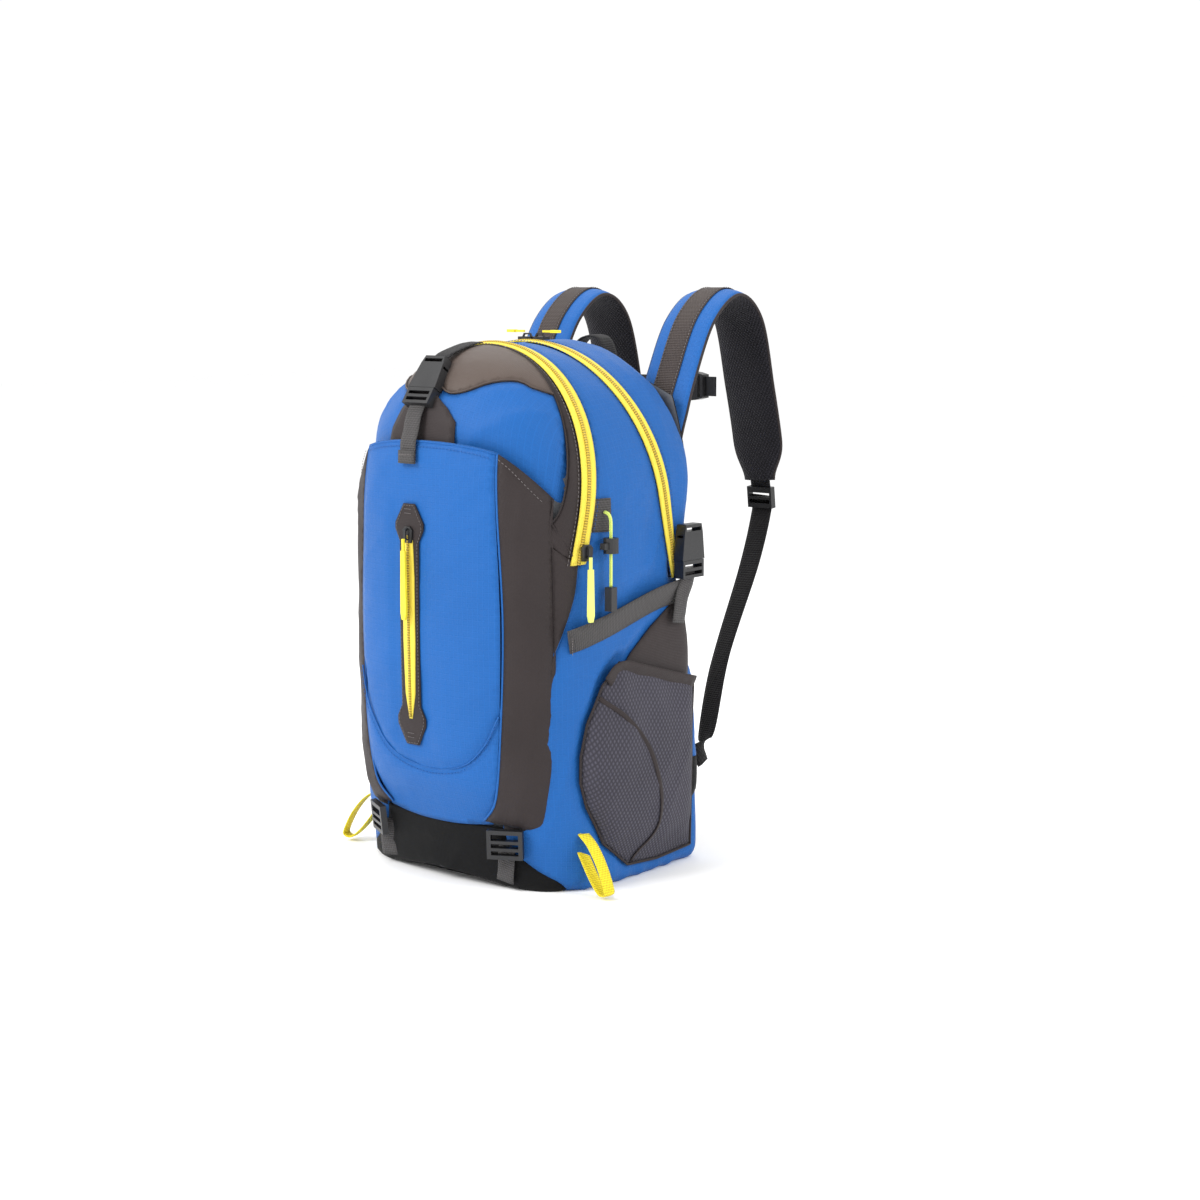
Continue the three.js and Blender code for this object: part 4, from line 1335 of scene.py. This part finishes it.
def make_strap_webbing():
    short = smooth_line([(90, 257.4, 366), (90, 258.4, 356), (90, 260.3, 347)], 3)
    facing = np.tile([0, 1.0, 0], (len(short), 1))
    pair(webbing("strap_keeper_right", short, facing, 24, 1.7, [WEB_BLACK]), "harness_SIDE")
    line = smooth_line([(90, 260.5, 340), (90, 262, 325), (96, 232, 270), (108, 166, 180), (122, 122, 106),
                        (116, 110, 92)], 5)
    t = np.linspace(0, 1, len(line))[:, None]
    across = (1 - t) * np.array([1, 0, 0]) + t * np.array([0.1, 0.4, 0.9])
    normals = np.cross(across, np.gradient(line, axis=0))
    right = webbing("strap_web_right", line, normals, 24, 1.7, [WEB_BLACK])
    left = mirror_copy(right, "strap_web_left")
    for obj, name, sign in ((right, "right", 1), (left, "left", -1)):
        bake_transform(obj)
        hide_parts(f"strap_webbing_{name}")


def make_anchors():
    outline = ring_at(*smooth_free([(70, 62), (96, 80), (96, 102), (70, 104)], 5).T)
    pair(panel("strap_anchor_patch_right", outline, ring_point, 2.6, [BLACK, LINING], 0.6, 6, 0.3, 111,
               0.1), "bag", ["strap_anchor_SIDE"])


def make_haul_loop():
    line = smooth_line([(-26, 92, 473), (-22, 96, 490), (-10, 99, 504), (10, 99, 504), (22, 96, 490),
                        (26, 92, 473)], 3)
    along = np.gradient(line, axis=0)
    normals = np.cross(np.tile([0, 1, 0.05], (len(line), 1)), along)
    put(webbing("haul_loop_web", line, normals, 18, 2.4, [WEB_BLACK]), "haul_loop", ["haul_loop"])


# ---------- hem loops ----------
def make_hem_loops():
    turn = HEM_LOOP_TURN
    path = smooth_line([(-6, 55), (-20, 46.5), (-34, 30.5), (-44, 12), (-44.5, 6), (-38, 4), (-30, 9),
                        (-20, 19),
                        (-4, 39)], 3)
    out = np.array([(128 - y * math.sin(turn), -78 + y * math.cos(turn), z) for y, z in path])
    across = np.array([math.cos(turn), math.sin(turn), 0])
    along = np.gradient(out, axis=0)
    pair(webbing("hem_loop_web_right", out, np.cross(np.tile(across, (len(out), 1)), along), 12, 1.8,
                 [WEB_YELLOW]), "hem_loop_SIDE", ["hem_loop_SIDE"])


# ---------- base straps ----------
def make_base_straps():
    line = straight_line([(78, 44), (76, 26), (74, 8)], 4)
    pair(strap_on_bag("base_strap_web_right", line, front_point, 22, np.full(len(line), 3.2), 1.7,
                      WEB_GREY), "bag", ["base_strap_SIDE"])


# ---------- hardware kept from the frame, with better materials ----------
HARDWARE = {
    PLASTIC: "top_buckle_socket top_buckle_prongs front_zip_slider arch_zip_slider main_zip_slider_SIDE"
             " compression_socket_SIDE compression_prongs_SIDE cord_lock_SIDE cord_lock_button_SIDE"
             " cord_end_SIDE ladder_lock_SIDE strap_adjuster_SIDE sternum_strap_SIDE",
    PLASTIC_YELLOW: "front_zip_pull main_zip_pull_SIDE",
    PLASTIC_NEON: "arch_zip_pull",
    SHEET: "frame_sheet",
}


def dress(name, material):
    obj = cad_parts[name]
    for slot in obj.material_slots:
        slot.link = "OBJECT"
        slot.material = material
    bevel = obj.modifiers.new("soft edges", "BEVEL")
    bevel.width, bevel.segments, bevel.limit_method = 0.0006, 2, "ANGLE"
    bevel.angle_limit = math.radians(38)


def main():
    make_camera()
    make_stage()
    make_cords()
    make_stash_pocket()
    outer_ring = make_gussets()
    make_lower_bands(outer_ring)
    make_base()
    make_side_panels()
    make_rear_band()
    make_arch_band()
    make_upper_front()
    make_zips()
    make_front_zip()
    make_top_strap()
    make_compression_straps()
    make_gear_tabs()
    make_mesh_pockets()
    make_back()
    make_lining()
    make_harness()
    make_strap_webbing()
    make_anchors()
    make_haul_loop()
    make_hem_loops()
    make_base_straps()
    for material, names in HARDWARE.items():
        for name in names.split():
            for side in ("right", "left")[:2 if "SIDE" in name else 1]:
                dress(name.replace("SIDE", side), material)


main()
